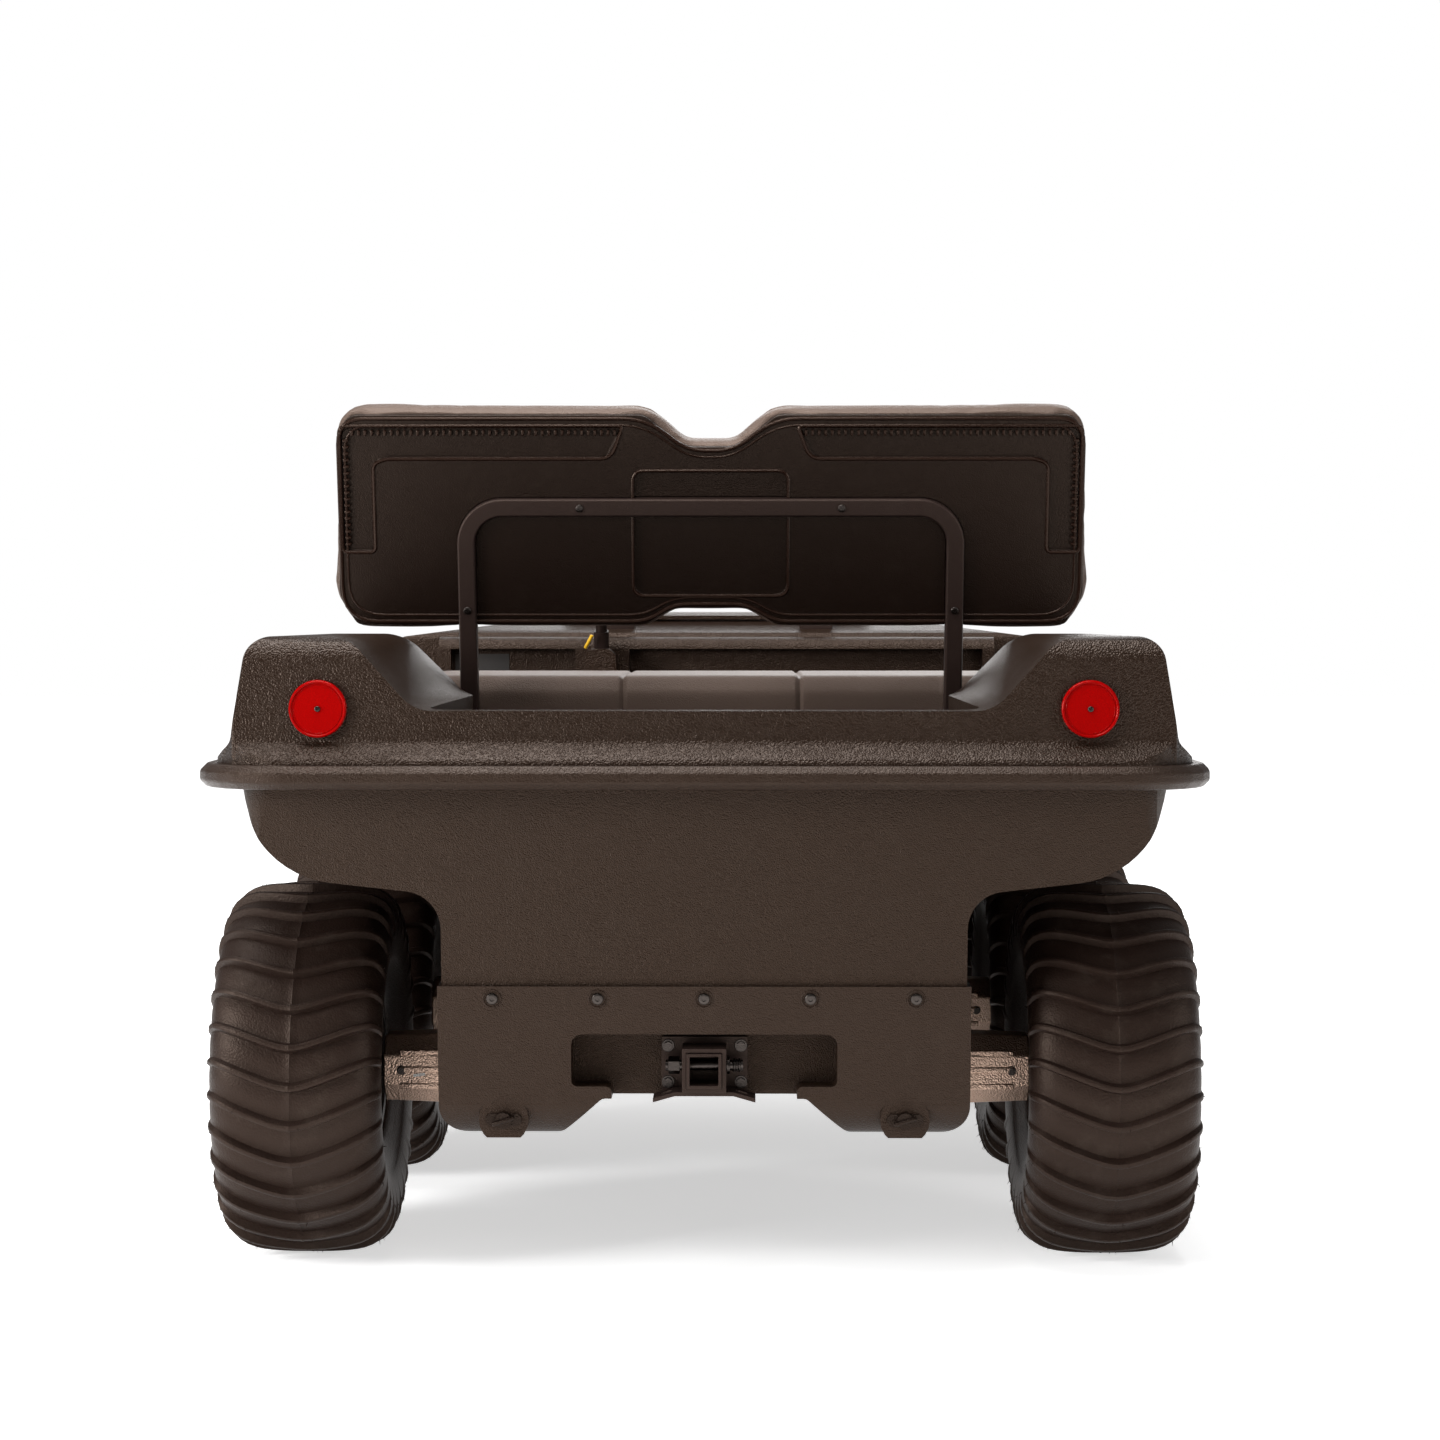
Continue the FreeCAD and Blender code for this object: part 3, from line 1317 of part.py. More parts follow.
def make_dash():
    """Dash panel with two trays and a moulded steering pedestal."""
    body = new_body("dash_moulding")
    face = "Places.dash_face"
    top = "Places.dash_top"
    profile = outline(
        body,
        "dash_side",
        "YZ_Plane",
        [
            (face, "Places.liner_bottom"),
            ("Places.cowl_rear", "Places.liner_bottom"),
            ("Places.cowl_rear", top),
            (face, top),
        ],
    )
    panel = pad(body, profile, "2 * Places.dash_reach", middle=True)
    eased = round_edges(
        body,
        panel,
        "Dims.dash_round",
        ALONG_X,
        lambda spot: spot.z > d.dash_top - 1 and spot.y < d.dash_face + 1,
    )
    edge = "Places.dash_reach - Dims.tray_rim"
    beside = "Dims.pedestal_width / 2 + Dims.tray_rim / 2"
    high = "Places.dash_top - Dims.tray_rim"
    low = "Places.dash_top - Dims.tray_rim - Dims.tray_height"
    spans = [
        ("left_tray", "-(%s)" % edge, "-Dims.column_side - (%s)" % beside),
        ("right_tray", "%s - Dims.column_side" % beside, edge),
    ]
    document.recompute()
    before = eased.Shape.Volume
    for name, start, end in spans:
        tray = outline(
            body,
            name,
            "XZ_Plane",
            [(start, low), (end, low), (end, high), (start, high)],
            "-%s" % face,
        )
        pocket(body, tray, "Dims.tray_depth")
    document.recompute()
    if body.Shape.Volume > before - 1000:
        raise RuntimeError("the trays cut nothing")
    half = "Dims.pedestal_width / 2"
    narrow = "(Dims.pedestal_width / 2 - Dims.pedestal_taper)"
    foot = "Dims.joint_height - Dims.pedestal_drop"
    head = "Dims.joint_height + Dims.pedestal_rise"
    shoulder = "%s - Dims.pedestal_taper" % head
    crown = "(%s - Dims.pedestal_taper)" % narrow
    stand = outline(
        body,
        "pedestal",
        "XZ_Plane",
        [
            ("-Dims.column_side - %s" % half, foot),
            ("-Dims.column_side + %s" % half, foot),
            ("-Dims.column_side + %s" % narrow, shoulder),
            ("-Dims.column_side + %s" % crown, head),
            ("-Dims.column_side - %s" % crown, head),
            ("-Dims.column_side - %s" % narrow, shoulder),
        ],
        "-%s - Dims.dash_round / 4" % face,
    )
    reach = "Dims.column_standoff + Dims.pedestal_depth + Dims.dash_round / 4"
    pad(body, stand, reach)
    bore = along_column(
        "dash_bore",
        "(Dims.column_radius + Dims.seating_gap) / cos(15deg)",
        -2 * d.column_length,
        "3 * Dims.column_length",
    )
    return keep(cut_away("dash_panel", body, bore), "dash_panel")


def make_steering():
    """Fixed column tube, and the handlebar that turns on it."""
    tube_outside = along_column(
        "column_outside", "Dims.column_radius", -d.column_length, "Dims.column_length"
    )
    tube_inside = along_column(
        "column_inside",
        "(Dims.bar_radius + Dims.axle_clearance) / cos(15deg)",
        -d.column_length,
        "Dims.column_length",
    )
    keep(cut_away("steering_column", tube_outside, tube_inside), "steering_column")

    across = Vector(1, 0, 0)
    back = across.cross(column_axis)
    clamp = column_point(2 * d.grip_radius + d.column_radius)
    stem = facet_rod(column_point(-0.9 * d.column_length), clamp, d.bar_radius)
    raised = column_axis * d.bar_rise
    swept = back * d.bar_sweep
    points = [
        clamp - across * d.bar_half_width + raised + swept,
        clamp - across * d.bar_bend_half + raised + swept * 0.3,
        clamp - across * d.bar_clamp_half,
        clamp + across * d.bar_clamp_half,
        clamp + across * d.bar_bend_half + raised + swept * 0.3,
        clamp + across * d.bar_half_width + raised + swept,
    ]
    bar = tube(points, d.bar_radius, d.bar_bend)
    boss = facet_rod(
        clamp - column_axis * 2 * d.bar_radius,
        clamp + column_axis * 2 * d.bar_radius,
        2.2 * d.bar_radius,
    )
    feature("handlebar", fused([bar, stem, boss]))

    grips = []
    hole_radius = d.bar_radius / math.cos(math.pi / 12) + d.seating_gap / 3
    for inner, tip in ((points[1], points[0]), (points[4], points[5])):
        run = tip - inner
        run.normalize()
        end = tip + run * d.bar_radius
        sleeve = facet_rod(end - run * d.grip_length, end, d.grip_radius)
        hole = facet_rod(end - run * (d.grip_length + 1), tip, hole_radius)
        grips.append(sleeve.cut(hole))
    feature("handlebar_grips", Part.makeCompound(grips))


def make_hood():
    """Lid over the engine bay with its hinge eyes, and the fixed ears."""
    reach = d.bay_half_width + d.lid_overlap
    lid_rows = mirrored(
        [
            (reach, d.engine_bay_rear - d.lid_overlap, d.well_corner),
            (reach, d.engine_bay_front + d.lid_overlap, 1.6 * d.well_corner),
        ]
    )
    column = plan_section(lid_rows, d.joint_height, FAR, 0, COARSE)
    deck = deck_form(0).common(column)
    inner = deck.translated(Vector(0, 0, d.lid_gap))
    lid = deck.translated(Vector(0, 0, d.lid_gap + d.lid_skin)).cut(inner)
    half = d.hinge_length / 2
    eyes = []
    for _, sign in sides:
        start = Vector(sign * d.hinge_side - half, d.hinge_place, d.hinge_height)
        end = start + Vector(d.hinge_length, 0, 0)
        strap = block(
            start.x,
            end.x,
            d.hinge_place,
            d.hinge_place + 2 * d.hinge_setback,
            d.hinge_height - d.hinge_eye * 0.6,
            d.hinge_height + d.hinge_eye * 0.9,
        )
        eye = fused([strap.cut(inner), facet_rod(start, end, d.hinge_eye)])
        clear = (d.hinge_radius + d.seating_gap) / math.cos(math.pi / 12)
        eyes.append(eye.cut(facet_rod(start, end, clear)))
    feature("hood_lid", fused([lid] + eyes))

    seat = helper("hinge_seat", deck_form(0).translated(Vector(0, 0, d.seating_gap)))
    side_reach = "(Dims.hinge_length / 2 + Dims.hinge_play + Dims.hinge_ear)"
    near = "Dims.hinge_side - %s" % side_reach
    base = solid_box(
        "hinge_base",
        (
            near,
            "Places.hinge_place - 2 * Dims.hinge_eye",
            "Places.hinge_height - 3 * Dims.hinge_eye",
        ),
        ("2 * %s" % side_reach, "3 * Dims.hinge_eye", "4 * Dims.hinge_eye"),
    )
    space = solid_box(
        "hinge_space",
        (
            "%s + Dims.hinge_ear" % near,
            "Places.hinge_place - 3 * Dims.hinge_eye",
            "Places.hinge_height - Dims.hinge_eye - Dims.hinge_play",
        ),
        (
            "2 * (%s - Dims.hinge_ear)" % side_reach,
            "5 * Dims.hinge_eye",
            "4 * Dims.hinge_eye",
        ),
    )
    pin = solid_rod(
        "hinge_pin",
        "Dims.hinge_radius",
        "2 * %s" % side_reach,
        (near, "Places.hinge_place", "Places.hinge_height"),
        ALONG_X,
        12,
    )
    ears = cut_away("hinge_ears", base, seat, space)
    pair("hood_hinges", merged("hinge", ears, pin))


def make_engine():
    """The engine as one plain block on its bearers."""
    engine = solid_box(
        "engine",
        ("-Dims.engine_width / 2", "Places.engine_rear", "Places.engine_bottom"),
        ("Dims.engine_width", "Dims.engine_length", "Dims.engine_height"),
    )
    post = solid_box(
        "bearer_post",
        ("Dims.bearer_side - Dims.bearer_width / 2", "Places.engine_rear", "0"),
        ("Dims.bearer_width", "Dims.engine_length", "Places.engine_bottom"),
    )
    pair("engine_bearers", overlap("bearer", post, hull_room))
    return keep(engine, "engine")


def make_housings():
    """Cast axle housings between the hull and the wheels, a pair per axle."""
    height = "Dims.tyre_radius"
    for number, (name, _) in enumerate(axles):
        body = new_body("housing_" + name)
        place = "Places.rear_axle + %d * Dims.axle_spacing" % number
        rings = []
        for key, size, across in (
            ("root", "Dims.housing_height", "Places.keel_half_width"),
            ("tip", "Dims.housing_tip", "Places.keel_half_width + Dims.housing_length"),
        ):
            half = "%s / 2" % size
            short = "%s * 0.22" % size
            corners = [
                ("-", half, "-", short),
                ("-", short, "-", half),
                ("+", short, "-", half),
                ("+", half, "-", short),
                ("+", half, "+", short),
                ("+", short, "+", half),
                ("-", short, "+", half),
                ("-", half, "+", short),
            ]
            points = [
                ("%s %s %s" % (place, a, along), "%s %s %s" % (height, b, up))
                for a, along, b, up in corners
            ]
            rings.append(
                outline(body, "%s_%s" % (name, key), "YZ_Plane", points, across)
            )
        loft = body.newObject("PartDesign::AdditiveLoft", "casting_" + name)
        loft.Profile = rings[0]
        loft.Sections = rings[1:]
        loft.Ruled = True
        bore = solid_rod(
            "axle_bore_" + name,
            "(Dims.axle_radius + Dims.axle_clearance) / cos(15deg)",
            "Dims.overall_width",
            ("0", place, height),
            ALONG_X,
            12,
        )
        pair("axle_housing_" + name, cut_away("bored_" + name, body, bore))


# Wheels. Their rings have flat sides, one for each pair of lugs.

lugs = 2 * int(d.lug_pairs)
pitch = 2 * math.pi / lugs
lug_angle = d.lug_width / d.tyre_radius


def lead(across):
    """How far a lug runs ahead at a distance from the tyre's middle."""
    return d.lug_lead / d.tyre_radius * abs(across) / d.shoulder_half


def wheel_point(across, radius, angle):
    """Angles run from the rear of the wheel over its top."""
    return Vector(across, -radius * math.cos(angle), radius * math.sin(angle))


def rim_angle(step):
    return step * pitch + lead(d.shoulder_half) + lug_angle / 2


def facets_of(*points):
    """Flat faces between three or four points."""
    if len(points) == 3:
        return [Part.Face(Part.makePolygon(list(points) + [points[0]]))]
    one, two, three, four = points
    return facets_of(one, two, three) + facets_of(one, three, four)


def closed_solid(faces):
    shell = Part.makeShell(faces)
    shell.sewShape()
    solid = Part.makeSolid(Part.Shell(shell.Faces))
    if solid.Volume < 0:
        solid.reverse()
    return solid


def tread_pitch(step, sign):
    """One lug and the groove behind it, from the middle to one shoulder."""
    crown = d.tyre_radius - d.lug_height
    edge_x = sign * d.shoulder_half
    edge_radius = d.tyre_radius - d.shoulder_drop
    edge = wheel_point(edge_x, edge_radius, rim_angle(step))
    next_edge = wheel_point(edge_x, edge_radius, rim_angle(step + 1))
    rows = []
    for across in (0, sign * d.tread_half):
        start = step * pitch + lead(across)
        rows.append(
            [
                wheel_point(across, crown, start),
                wheel_point(across, d.tyre_radius, start),
                wheel_point(across, d.tyre_radius, start + lug_angle),
                wheel_point(across, crown, start + lug_angle),
                wheel_point(across, crown, start + pitch),
            ]
        )
    middle, outer = rows
    faces = []
    for i in range(4):
        faces += facets_of(middle[i], middle[i + 1], outer[i + 1], outer[i])
    for i in range(3):
        faces += facets_of(outer[i], outer[i + 1], edge)
    return faces + facets_of(outer[3], outer[4], next_edge, edge)


def tyre_shape():
    """Balloon tyre with chevron lugs that run out at its shoulders."""
    faces = []
    for step in range(lugs):
        for _, sign in sides:
            faces += tread_pitch(step, sign)
    for step in range(0, lugs, 2):
        for _, sign in sides:
            edge_radius = d.tyre_radius - d.shoulder_drop
            edges = [
                wheel_point(sign * d.shoulder_half, edge_radius, rim_angle(step + i))
                for i in range(3)
            ]
            wall = [
                wheel_point(sign * d.tyre_width / 2, d.wall_radius, rim_angle(step + i))
                for i in (0, 2)
            ]
            bead = [
                wheel_point(sign * d.rim_half_width, d.bead_radius, rim_angle(step + i))
                for i in (0, 2)
            ]
            faces += facets_of(wall[0], edges[0], edges[1])
            faces += facets_of(wall[0], edges[1], wall[1])
            faces += facets_of(wall[1], edges[1], edges[2])
            faces += facets_of(bead[0], wall[0], wall[1], bead[1])
        bore = [
            wheel_point(across * d.rim_half_width, d.bead_radius, rim_angle(step + i))
            for across, i in ((-1, 0), (-1, 2), (1, 2), (1, 0))
        ]
        faces += facets_of(*bore)
    return closed_solid(faces)


def rim_shape(sign):
    """Rim with its dished disc, hub and axle shaft."""
    half = d.rim_half_width
    bead = d.bead_radius - d.seating_gap
    inner_end = d.wheel_side - d.keel_half_width + d.housing_length / 5
    rows = [
        (-half, bead),
        (half, bead),
        (half, bead - 12),
        (half - 40, bead - 20),
        (half - 36, 40),
        (half - 20, 30),
        (-inner_end, d.axle_radius),
        (20, d.axle_radius),
        (half - 52, bead - 24),
        (-half, bead - 16),
    ]
    faces = []

    def ring_at(row):
        return [
            wheel_point(sign * row[0], row[1], rim_angle(step))
            for step in range(0, lugs, 2)
        ]

    bands = [(rows[i], rows[i + 1]) for i in range(5)]
    bands += [(rows[i], rows[i + 1]) for i in range(6, 9)] + [(rows[9], rows[0])]
    for start, end in bands:
        first, second = ring_at(start), ring_at(end)
        for i in range(len(first)):
            corners = [first[i - 1], first[i], second[i], second[i - 1]]
            faces.append(Part.Face(Part.makePolygon(corners + corners[:1])))
    for row in (rows[5], rows[6]):
        corners = ring_at(row)
        faces.append(Part.Face(Part.makePolygon(corners + corners[:1])))
    return closed_solid(faces)


def make_wheels():
    tyre = tyre_shape()
    rims = {sign: rim_shape(sign) for _, sign in sides}
    for name, place in axles:
        for side, sign in sides:
            spot = FreeCAD.Placement(
                Vector(sign * d.wheel_side, place, d.tyre_radius), FreeCAD.Rotation()
            )
            feature("tyre_%s_%s" % (name, side), tyre.copy(), spot)
            feature("rim_%s_%s" % (name, side), rims[sign].copy(), spot)


def make_hitch():
    """Receiver on its plate, the drawbar tube in it and the pin across both."""
    mouth = "Places.receiver_rear"
    middle = "Places.receiver_height"
    depth = "Dims.receiver_length - Dims.hitch_plate_thickness"

    def square(name, size, drop="0", proud="0"):
        return solid_box(
            name,
            (
                "-%s / 2" % size,
                "%s - %s" % (mouth, proud),
                "%s - %s / 2 - (%s)" % (middle, size, drop),
            ),
            (size, "%s + %s" % (depth, proud), size),
        )

    outside = square("receiver_outside", "Dims.receiver_outer")
    inside = square("receiver_inside", "Dims.receiver_inner")
    plate = solid_box(
        "hitch_plate",
        (
            "-Dims.hitch_plate_width / 2",
            "Places.hitch_plate_rear",
            "%s - Dims.hitch_plate_height / 2" % middle,
        ),
        ("Dims.hitch_plate_width", "Dims.hitch_plate_thickness", "Dims.hitch_plate_height"),
    )
    body = new_body("chain_plate")
    low = "%s - Dims.receiver_outer / 2" % middle
    root = "Dims.chain_hole_spacing / 2 - 1.4 * Dims.chain_hole_radius"
    reach = "Dims.chain_plate_width / 2"
    under = "%s - Dims.chain_plate_thickness" % low
    half_rows = [
        (root, low),
        (reach, "%s - Dims.chain_plate_droop" % low),
        (reach, "%s - Dims.chain_plate_droop" % under),
        (root, under),
    ]
    rows = half_rows + [("-(%s)" % u, v) for u, v in reversed(half_rows)]
    sheet_shape = outline(
        body, "chain_plate_end", "XZ_Plane", rows, "-Places.hitch_plate_rear"
    )
    chain_plate = pad(body, sheet_shape, "%s - Dims.chain_plate_thickness" % depth)
    holes = [
        solid_rod(
            "chain_hole",
            "Dims.chain_hole_radius",
            "Places.receiver_height",
            (
                "%s * Dims.chain_hole_spacing / 2" % sign,
                "Places.receiver_rear + Dims.receiver_length / 2",
                "-Dims.receiver_outer / 2",
            ),
            ALONG_Z,
            12,
        )
        for _, sign in sides
    ]
    pin_hole = solid_rod(
        "pin_hole",
        "Dims.pin_radius + Dims.seating_gap",
        "2 * Dims.pin_length",
        ("-Dims.pin_length", "Places.pin_place", "Places.pin_height"),
        ALONG_X,
        12,
    )
    solid = merged("receiver_solid", outside, plate, body)
    receiver = cut_away("hitch_receiver", solid, inside, *holes, pin_hole)
    keep(receiver, "hitch_receiver")

    bar = square(
        "drawbar_outside",
        "Dims.drawbar_outer",
        "(Dims.receiver_inner - Dims.drawbar_outer) / 2",
        "Dims.drawbar_proud",
    )
    bar_hole = square(
        "drawbar_inside",
        "Dims.drawbar_inner",
        "(Dims.receiver_inner - Dims.drawbar_outer) / 2",
        "Dims.drawbar_proud",
    )
    keep(cut_away("drawbar_stub", bar, bar_hole, pin_hole), "drawbar_stub")

    def pin_part(name, radius, length, start, facets):
        spot = (start, "Places.pin_place", "Places.pin_height")
        return solid_rod(name, radius, length, spot, ALONG_X, facets)

    side = "Dims.receiver_outer / 2"
    nut = pin_part(
        "pin_nut",
        "Dims.pin_nut_radius",
        "Dims.pin_nut_length",
        "-%s - Dims.pin_nut_length - 4" % side,
        6,
    )
    stop = pin_part("pin_stop", "Dims.pin_nut_radius", "4", "%s + 1" % side, 12)
    shank = pin_part("pin_shank", "Dims.pin_radius", "Dims.pin_length", "-Dims.pin_length / 2", 12)
    keep(merged("hitch_pin", shank, nut, stop), "hitch_pin")


def make_drain_plugs():
    """Round plugs in two-screw flanges on the skid plate's hoods."""
    body = new_body("plug_flange")
    ends = ("Places.plug_side - Dims.plug_flange_half", "Places.plug_side + Dims.plug_flange_half")
    low = "Places.plug_height - Dims.plug_flange_round"
    high = "Places.plug_height + Dims.plug_flange_round"
    plan = outline(
        body,
        "plug_flange_plan",
        "XZ_Plane",
        [(ends[0], low), (ends[1], low), (ends[1], high), (ends[0], high)],
        "-Places.plug_face",
    )
    flange = pad(body, plan, "Dims.plug_flange_thickness")
    document.recompute()
    corners = edges_along(flange.Shape, ALONG_Y)
    bevel_edges(body, flange, "Dims.plug_flange_round * 0.6", corners)
    plug = solid_rod(
        "plug",
        "Dims.plug_radius",
        "Dims.plug_depth + Dims.plug_flange_thickness / 2",
        (
            "Places.plug_side",
            "Places.plug_face - Dims.plug_flange_thickness - Dims.plug_depth",
            "Places.plug_height",
        ),
        ALONG_Y,
        12,
    )
    return pair("drain_plugs", merged("plug_assembly", body, plug))


def make_reflectors():
    """Round reflectors seated on the rear wall of the humps."""
    foot = d.step_height + d.step_climb
    rise = d.hump_height + d.edge_break - foot
    slope = d.wall_lean / 2 / rise
    wall = rear_edge + d.deck_inset + d.step_slope
    normal = Vector(0, -1, slope)
    normal.normalize()
    spot = Vector(
        d.reflector_side,
        wall + slope * (d.reflector_height - foot),
        d.reflector_height,
    )
    disc = document.addObject("Part::Cylinder", "reflector")
    disc.setExpression("Radius", "Dims.reflector_radius")
    disc.setExpression("Height", "Dims.reflector_thickness")
    disc.Placement = FreeCAD.Placement(
        spot + normal * d.seating_gap, FreeCAD.Rotation(Vector(0, 0, 1), normal)
    )
    return pair("rear_reflectors", disc)


def make_headlamps():
    """Round lamps seated on the nose."""
    run = front_edge - d.deck_inset - d.nose_foot_inset - d.nose_place
    drop = d.nose_height - d.nose_low
    normal = Vector(0, drop, run)
    normal.normalize()
    spot = Vector(d.headlamp_side, d.nose_place + run / 2, d.nose_low + drop / 2)
    lamp = document.addObject("Part::Prism", "headlamp")
    lamp.Polygon = 24
    lamp.setExpression("Circumradius", "Dims.headlamp_radius")
    lamp.setExpression("Height", "Dims.headlamp_thickness")
    lamp.Placement = FreeCAD.Placement(
        spot + normal * d.seating_gap, FreeCAD.Rotation(Vector(0, 0, 1), normal)
    )
    return pair("headlamps", lamp)


def make_tow_eye():
    """Lug with a hole on the bow, for a tow rope or a winch hook."""
    lug = solid_box(
        "tow_lug",
        (
            "-Dims.tow_thickness / 2",
            "Places.stem_place - Dims.stem_setback / 2",
            "Places.tow_height - Dims.tow_half_height",
        ),
        (
            "Dims.tow_thickness",
            "Places.tow_hole_place + Dims.tow_hole_radius + Dims.tow_edge"
            " - Places.stem_place + Dims.stem_setback / 2",
            "2 * Dims.tow_half_height",
        ),
    )
    bow = helper("bow_form", hull_form(-d.seating_gap, d.joint_height))
    hole = solid_rod(
        "tow_hole",
        "Dims.tow_hole_radius",
        "2 * Dims.tow_thickness",
        ("-Dims.tow_thickness", "Places.tow_hole_place", "Places.tow_height"),
        ALONG_X,
    )
    return keep(cut_away("tow_eye", lug, bow, hole), "tow_eye")


make_lower_hull()
make_upper_body()
make_rub_rail()
make_skid_plate()
make_floor_pan()
make_seat_base()
make_cushion()
make_back_frame()
make_backrest()
make_back_brackets()
make_dash()
make_steering()
make_hood()
make_engine()
make_housings()
make_wheels()
make_hitch()
make_drain_plugs()
make_reflectors()
make_headlamps()
make_tow_eye()

document.recompute()
for item in document.Objects:
    if "Invalid" in item.State or "Error" in item.State:
        raise RuntimeError("%s did not build: %s" % (item.Label, item.State))

os.makedirs("parts", exist_ok=True)
for item in nodes:
    shape = item.Shape
    if shape.isNull() or not shape.isValid() or not shape.Solids:
        raise RuntimeError("%s has no sound shape" % item.Label)
    shape.exportStep("parts/%s.step" % item.Label)
print("wrote %d sub-parts" % len(nodes))
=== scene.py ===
"""Dresses the six-wheel amphibious vehicle for rendering.

Every piece is in metres in the vehicle's own frame: +X to its right, +Y forward
and +Z up, with the origin on the ground under its middle.
"""

import json
import math
import random

import bmesh
import bpy
from bpy.props import (
    FloatProperty, FloatVectorProperty, IntProperty, PointerProperty,
)
from mathutils import Matrix, Vector


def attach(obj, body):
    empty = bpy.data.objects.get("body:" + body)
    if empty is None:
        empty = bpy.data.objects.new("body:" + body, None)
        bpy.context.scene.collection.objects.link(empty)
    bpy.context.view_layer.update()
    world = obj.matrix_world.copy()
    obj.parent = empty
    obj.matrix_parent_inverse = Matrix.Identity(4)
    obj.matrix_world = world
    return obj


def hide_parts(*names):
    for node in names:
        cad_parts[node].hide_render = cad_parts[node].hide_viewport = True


bl_info = {
    "name": "Amphibious vehicle dressing",
    "version": (1, 0, 0),
    "blender": (4, 5, 0),
    "location": "View3D > Sidebar > Vehicle",
    "description": "Finishes, treads, padding and fittings for an amphibious vehicle",
    "category": "Object",
}

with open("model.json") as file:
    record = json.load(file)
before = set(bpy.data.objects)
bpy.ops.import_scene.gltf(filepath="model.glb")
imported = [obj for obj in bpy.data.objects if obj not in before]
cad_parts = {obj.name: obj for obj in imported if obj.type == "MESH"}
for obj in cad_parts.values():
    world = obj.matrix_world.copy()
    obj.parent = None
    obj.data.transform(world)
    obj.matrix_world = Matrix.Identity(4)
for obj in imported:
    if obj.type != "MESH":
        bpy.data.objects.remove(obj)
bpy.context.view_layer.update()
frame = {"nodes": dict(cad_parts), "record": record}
nodes = frame["nodes"]
slots = {row["node"]: row["material_slot"] for row in frame["record"]["subparts"]}
materials = {}


# Sizes and colours that a user would change


def colour(name, description, value):
    return FloatVectorProperty(
        name=name, description=description, subtype="COLOR", size=3, min=0, max=1,
        default=value,
    )


def length(name, description, value):
    return FloatProperty(
        name=name, description=description, subtype="DISTANCE", unit="LENGTH", min=0,
        default=value,
    )


class StageSettings(bpy.types.PropertyGroup):
    """Camera, floor and lights."""

    lens: FloatProperty(
        name="Lens", description="Focal length on a 36 mm sensor in mm", default=73.8, min=10
    )
    camera_place: FloatVectorProperty(
        name="Camera", description="Where the camera stands", subtype="TRANSLATION",
        unit="LENGTH", default=(0.063, -5.335, 0.97),
    )
    camera_pitch: FloatProperty(
        name="Pitch", description="How far the camera looks down", subtype="ANGLE",
        unit="ROTATION", default=math.radians(2.018),
    )
    camera_yaw: FloatProperty(
        name="Yaw", description="How far the camera looks to the left", subtype="ANGLE",
        unit="ROTATION", default=math.radians(0.543),
    )
    light: FloatProperty(
        name="Light", description="Scales all lamps", default=1.0, min=0
    )


class FinishSettings(bpy.types.PropertyGroup):
    """Base colours of the vehicle's materials."""

    hull: colour("Hull", "Moulded lower hull", (0.0150, 0.0078, 0.0045))
    body: colour("Upper body", "Moulded upper body", (0.0125, 0.0062, 0.0036))
    trim: colour("Trim", "Rub rail, skid plate and shell", (0.0165, 0.0090, 0.0058))
    shell: colour("Shell", "Backrest shell", (0.0045, 0.0018, 0.0011))
    frame: colour("Frame", "Powder coated steel", (0.0190, 0.0115, 0.0100))
    vinyl: colour("Vinyl", "Seat covers", (0.080, 0.056, 0.045))
    tyre: colour("Tyre", "Tyre rubber", (0.0125, 0.0065, 0.0048))
    metal: colour("Cast metal", "Axle housings", (0.50, 0.35, 0.27))
    red: colour("Red", "Rear reflectors", (0.30, 0.0010, 0.0010))


class TyreSettings(bpy.types.PropertyGroup):
    """Balloon tyres with chevron lugs."""

    radius: length("Radius", "To the lug tips", 0.282)
    lug_height: length("Lug height", "Lugs above the carcass", 0.012)
    lug_width: length("Lug width", "Lugs along the tread", 0.015)
    lug_lead: length("Lug lead", "How far a lug's ends run ahead of its middle", 0.040)
    lugs: IntProperty(name="Lugs", description="Lugs round each tyre", default=30, min=3)
    whisker: length("Whiskers", "Moulding whiskers on the lugs", 0.007)


class PaddingSettings(bpy.types.PropertyGroup):
    """Seat cushion and backrest pad."""

    voxel: length("Voxel", "Grid of the padded pieces", 0.006)
    swell: length("Swell", "How far the cover may puff out", 0.010)
    seam: length("Seam", "Depth of the sewn seams", 0.005)


# Node groups and materials


def group(name, inputs, outputs):
    """New shader group; inputs and outputs are (name, socket type, default)."""
    tree = bpy.data.node_groups.new(name, "ShaderNodeTree")
    for label, kind, value in inputs:
        socket = tree.interface.new_socket(label, in_out="INPUT", socket_type=kind)
        if value is not None:
            socket.default_value = value
    for label, kind in outputs:
        tree.interface.new_socket(label, in_out="OUTPUT", socket_type=kind)
    return tree, tree.nodes.new("NodeGroupInput"), tree.nodes.new("NodeGroupOutput")


def node(tree, kind, **values):
    made = tree.nodes.new(kind)
    for name, value in values.items():
        if hasattr(made, name):
            setattr(made, name, value)
        else:
            made.inputs[name.replace("_", " ")].default_value = value
    return made


def math_node(tree, operation, first, second=None, clamp=False):
    made = tree.nodes.new("ShaderNodeMath")
    made.operation = operation
    made.use_clamp = clamp
    for socket, value in zip(made.inputs, (first, second)):
        if value is None:
            continue
        if isinstance(value, (int, float)):
            socket.default_value = value
        else:
            tree.links.new(value, socket)
    return made.outputs[0]


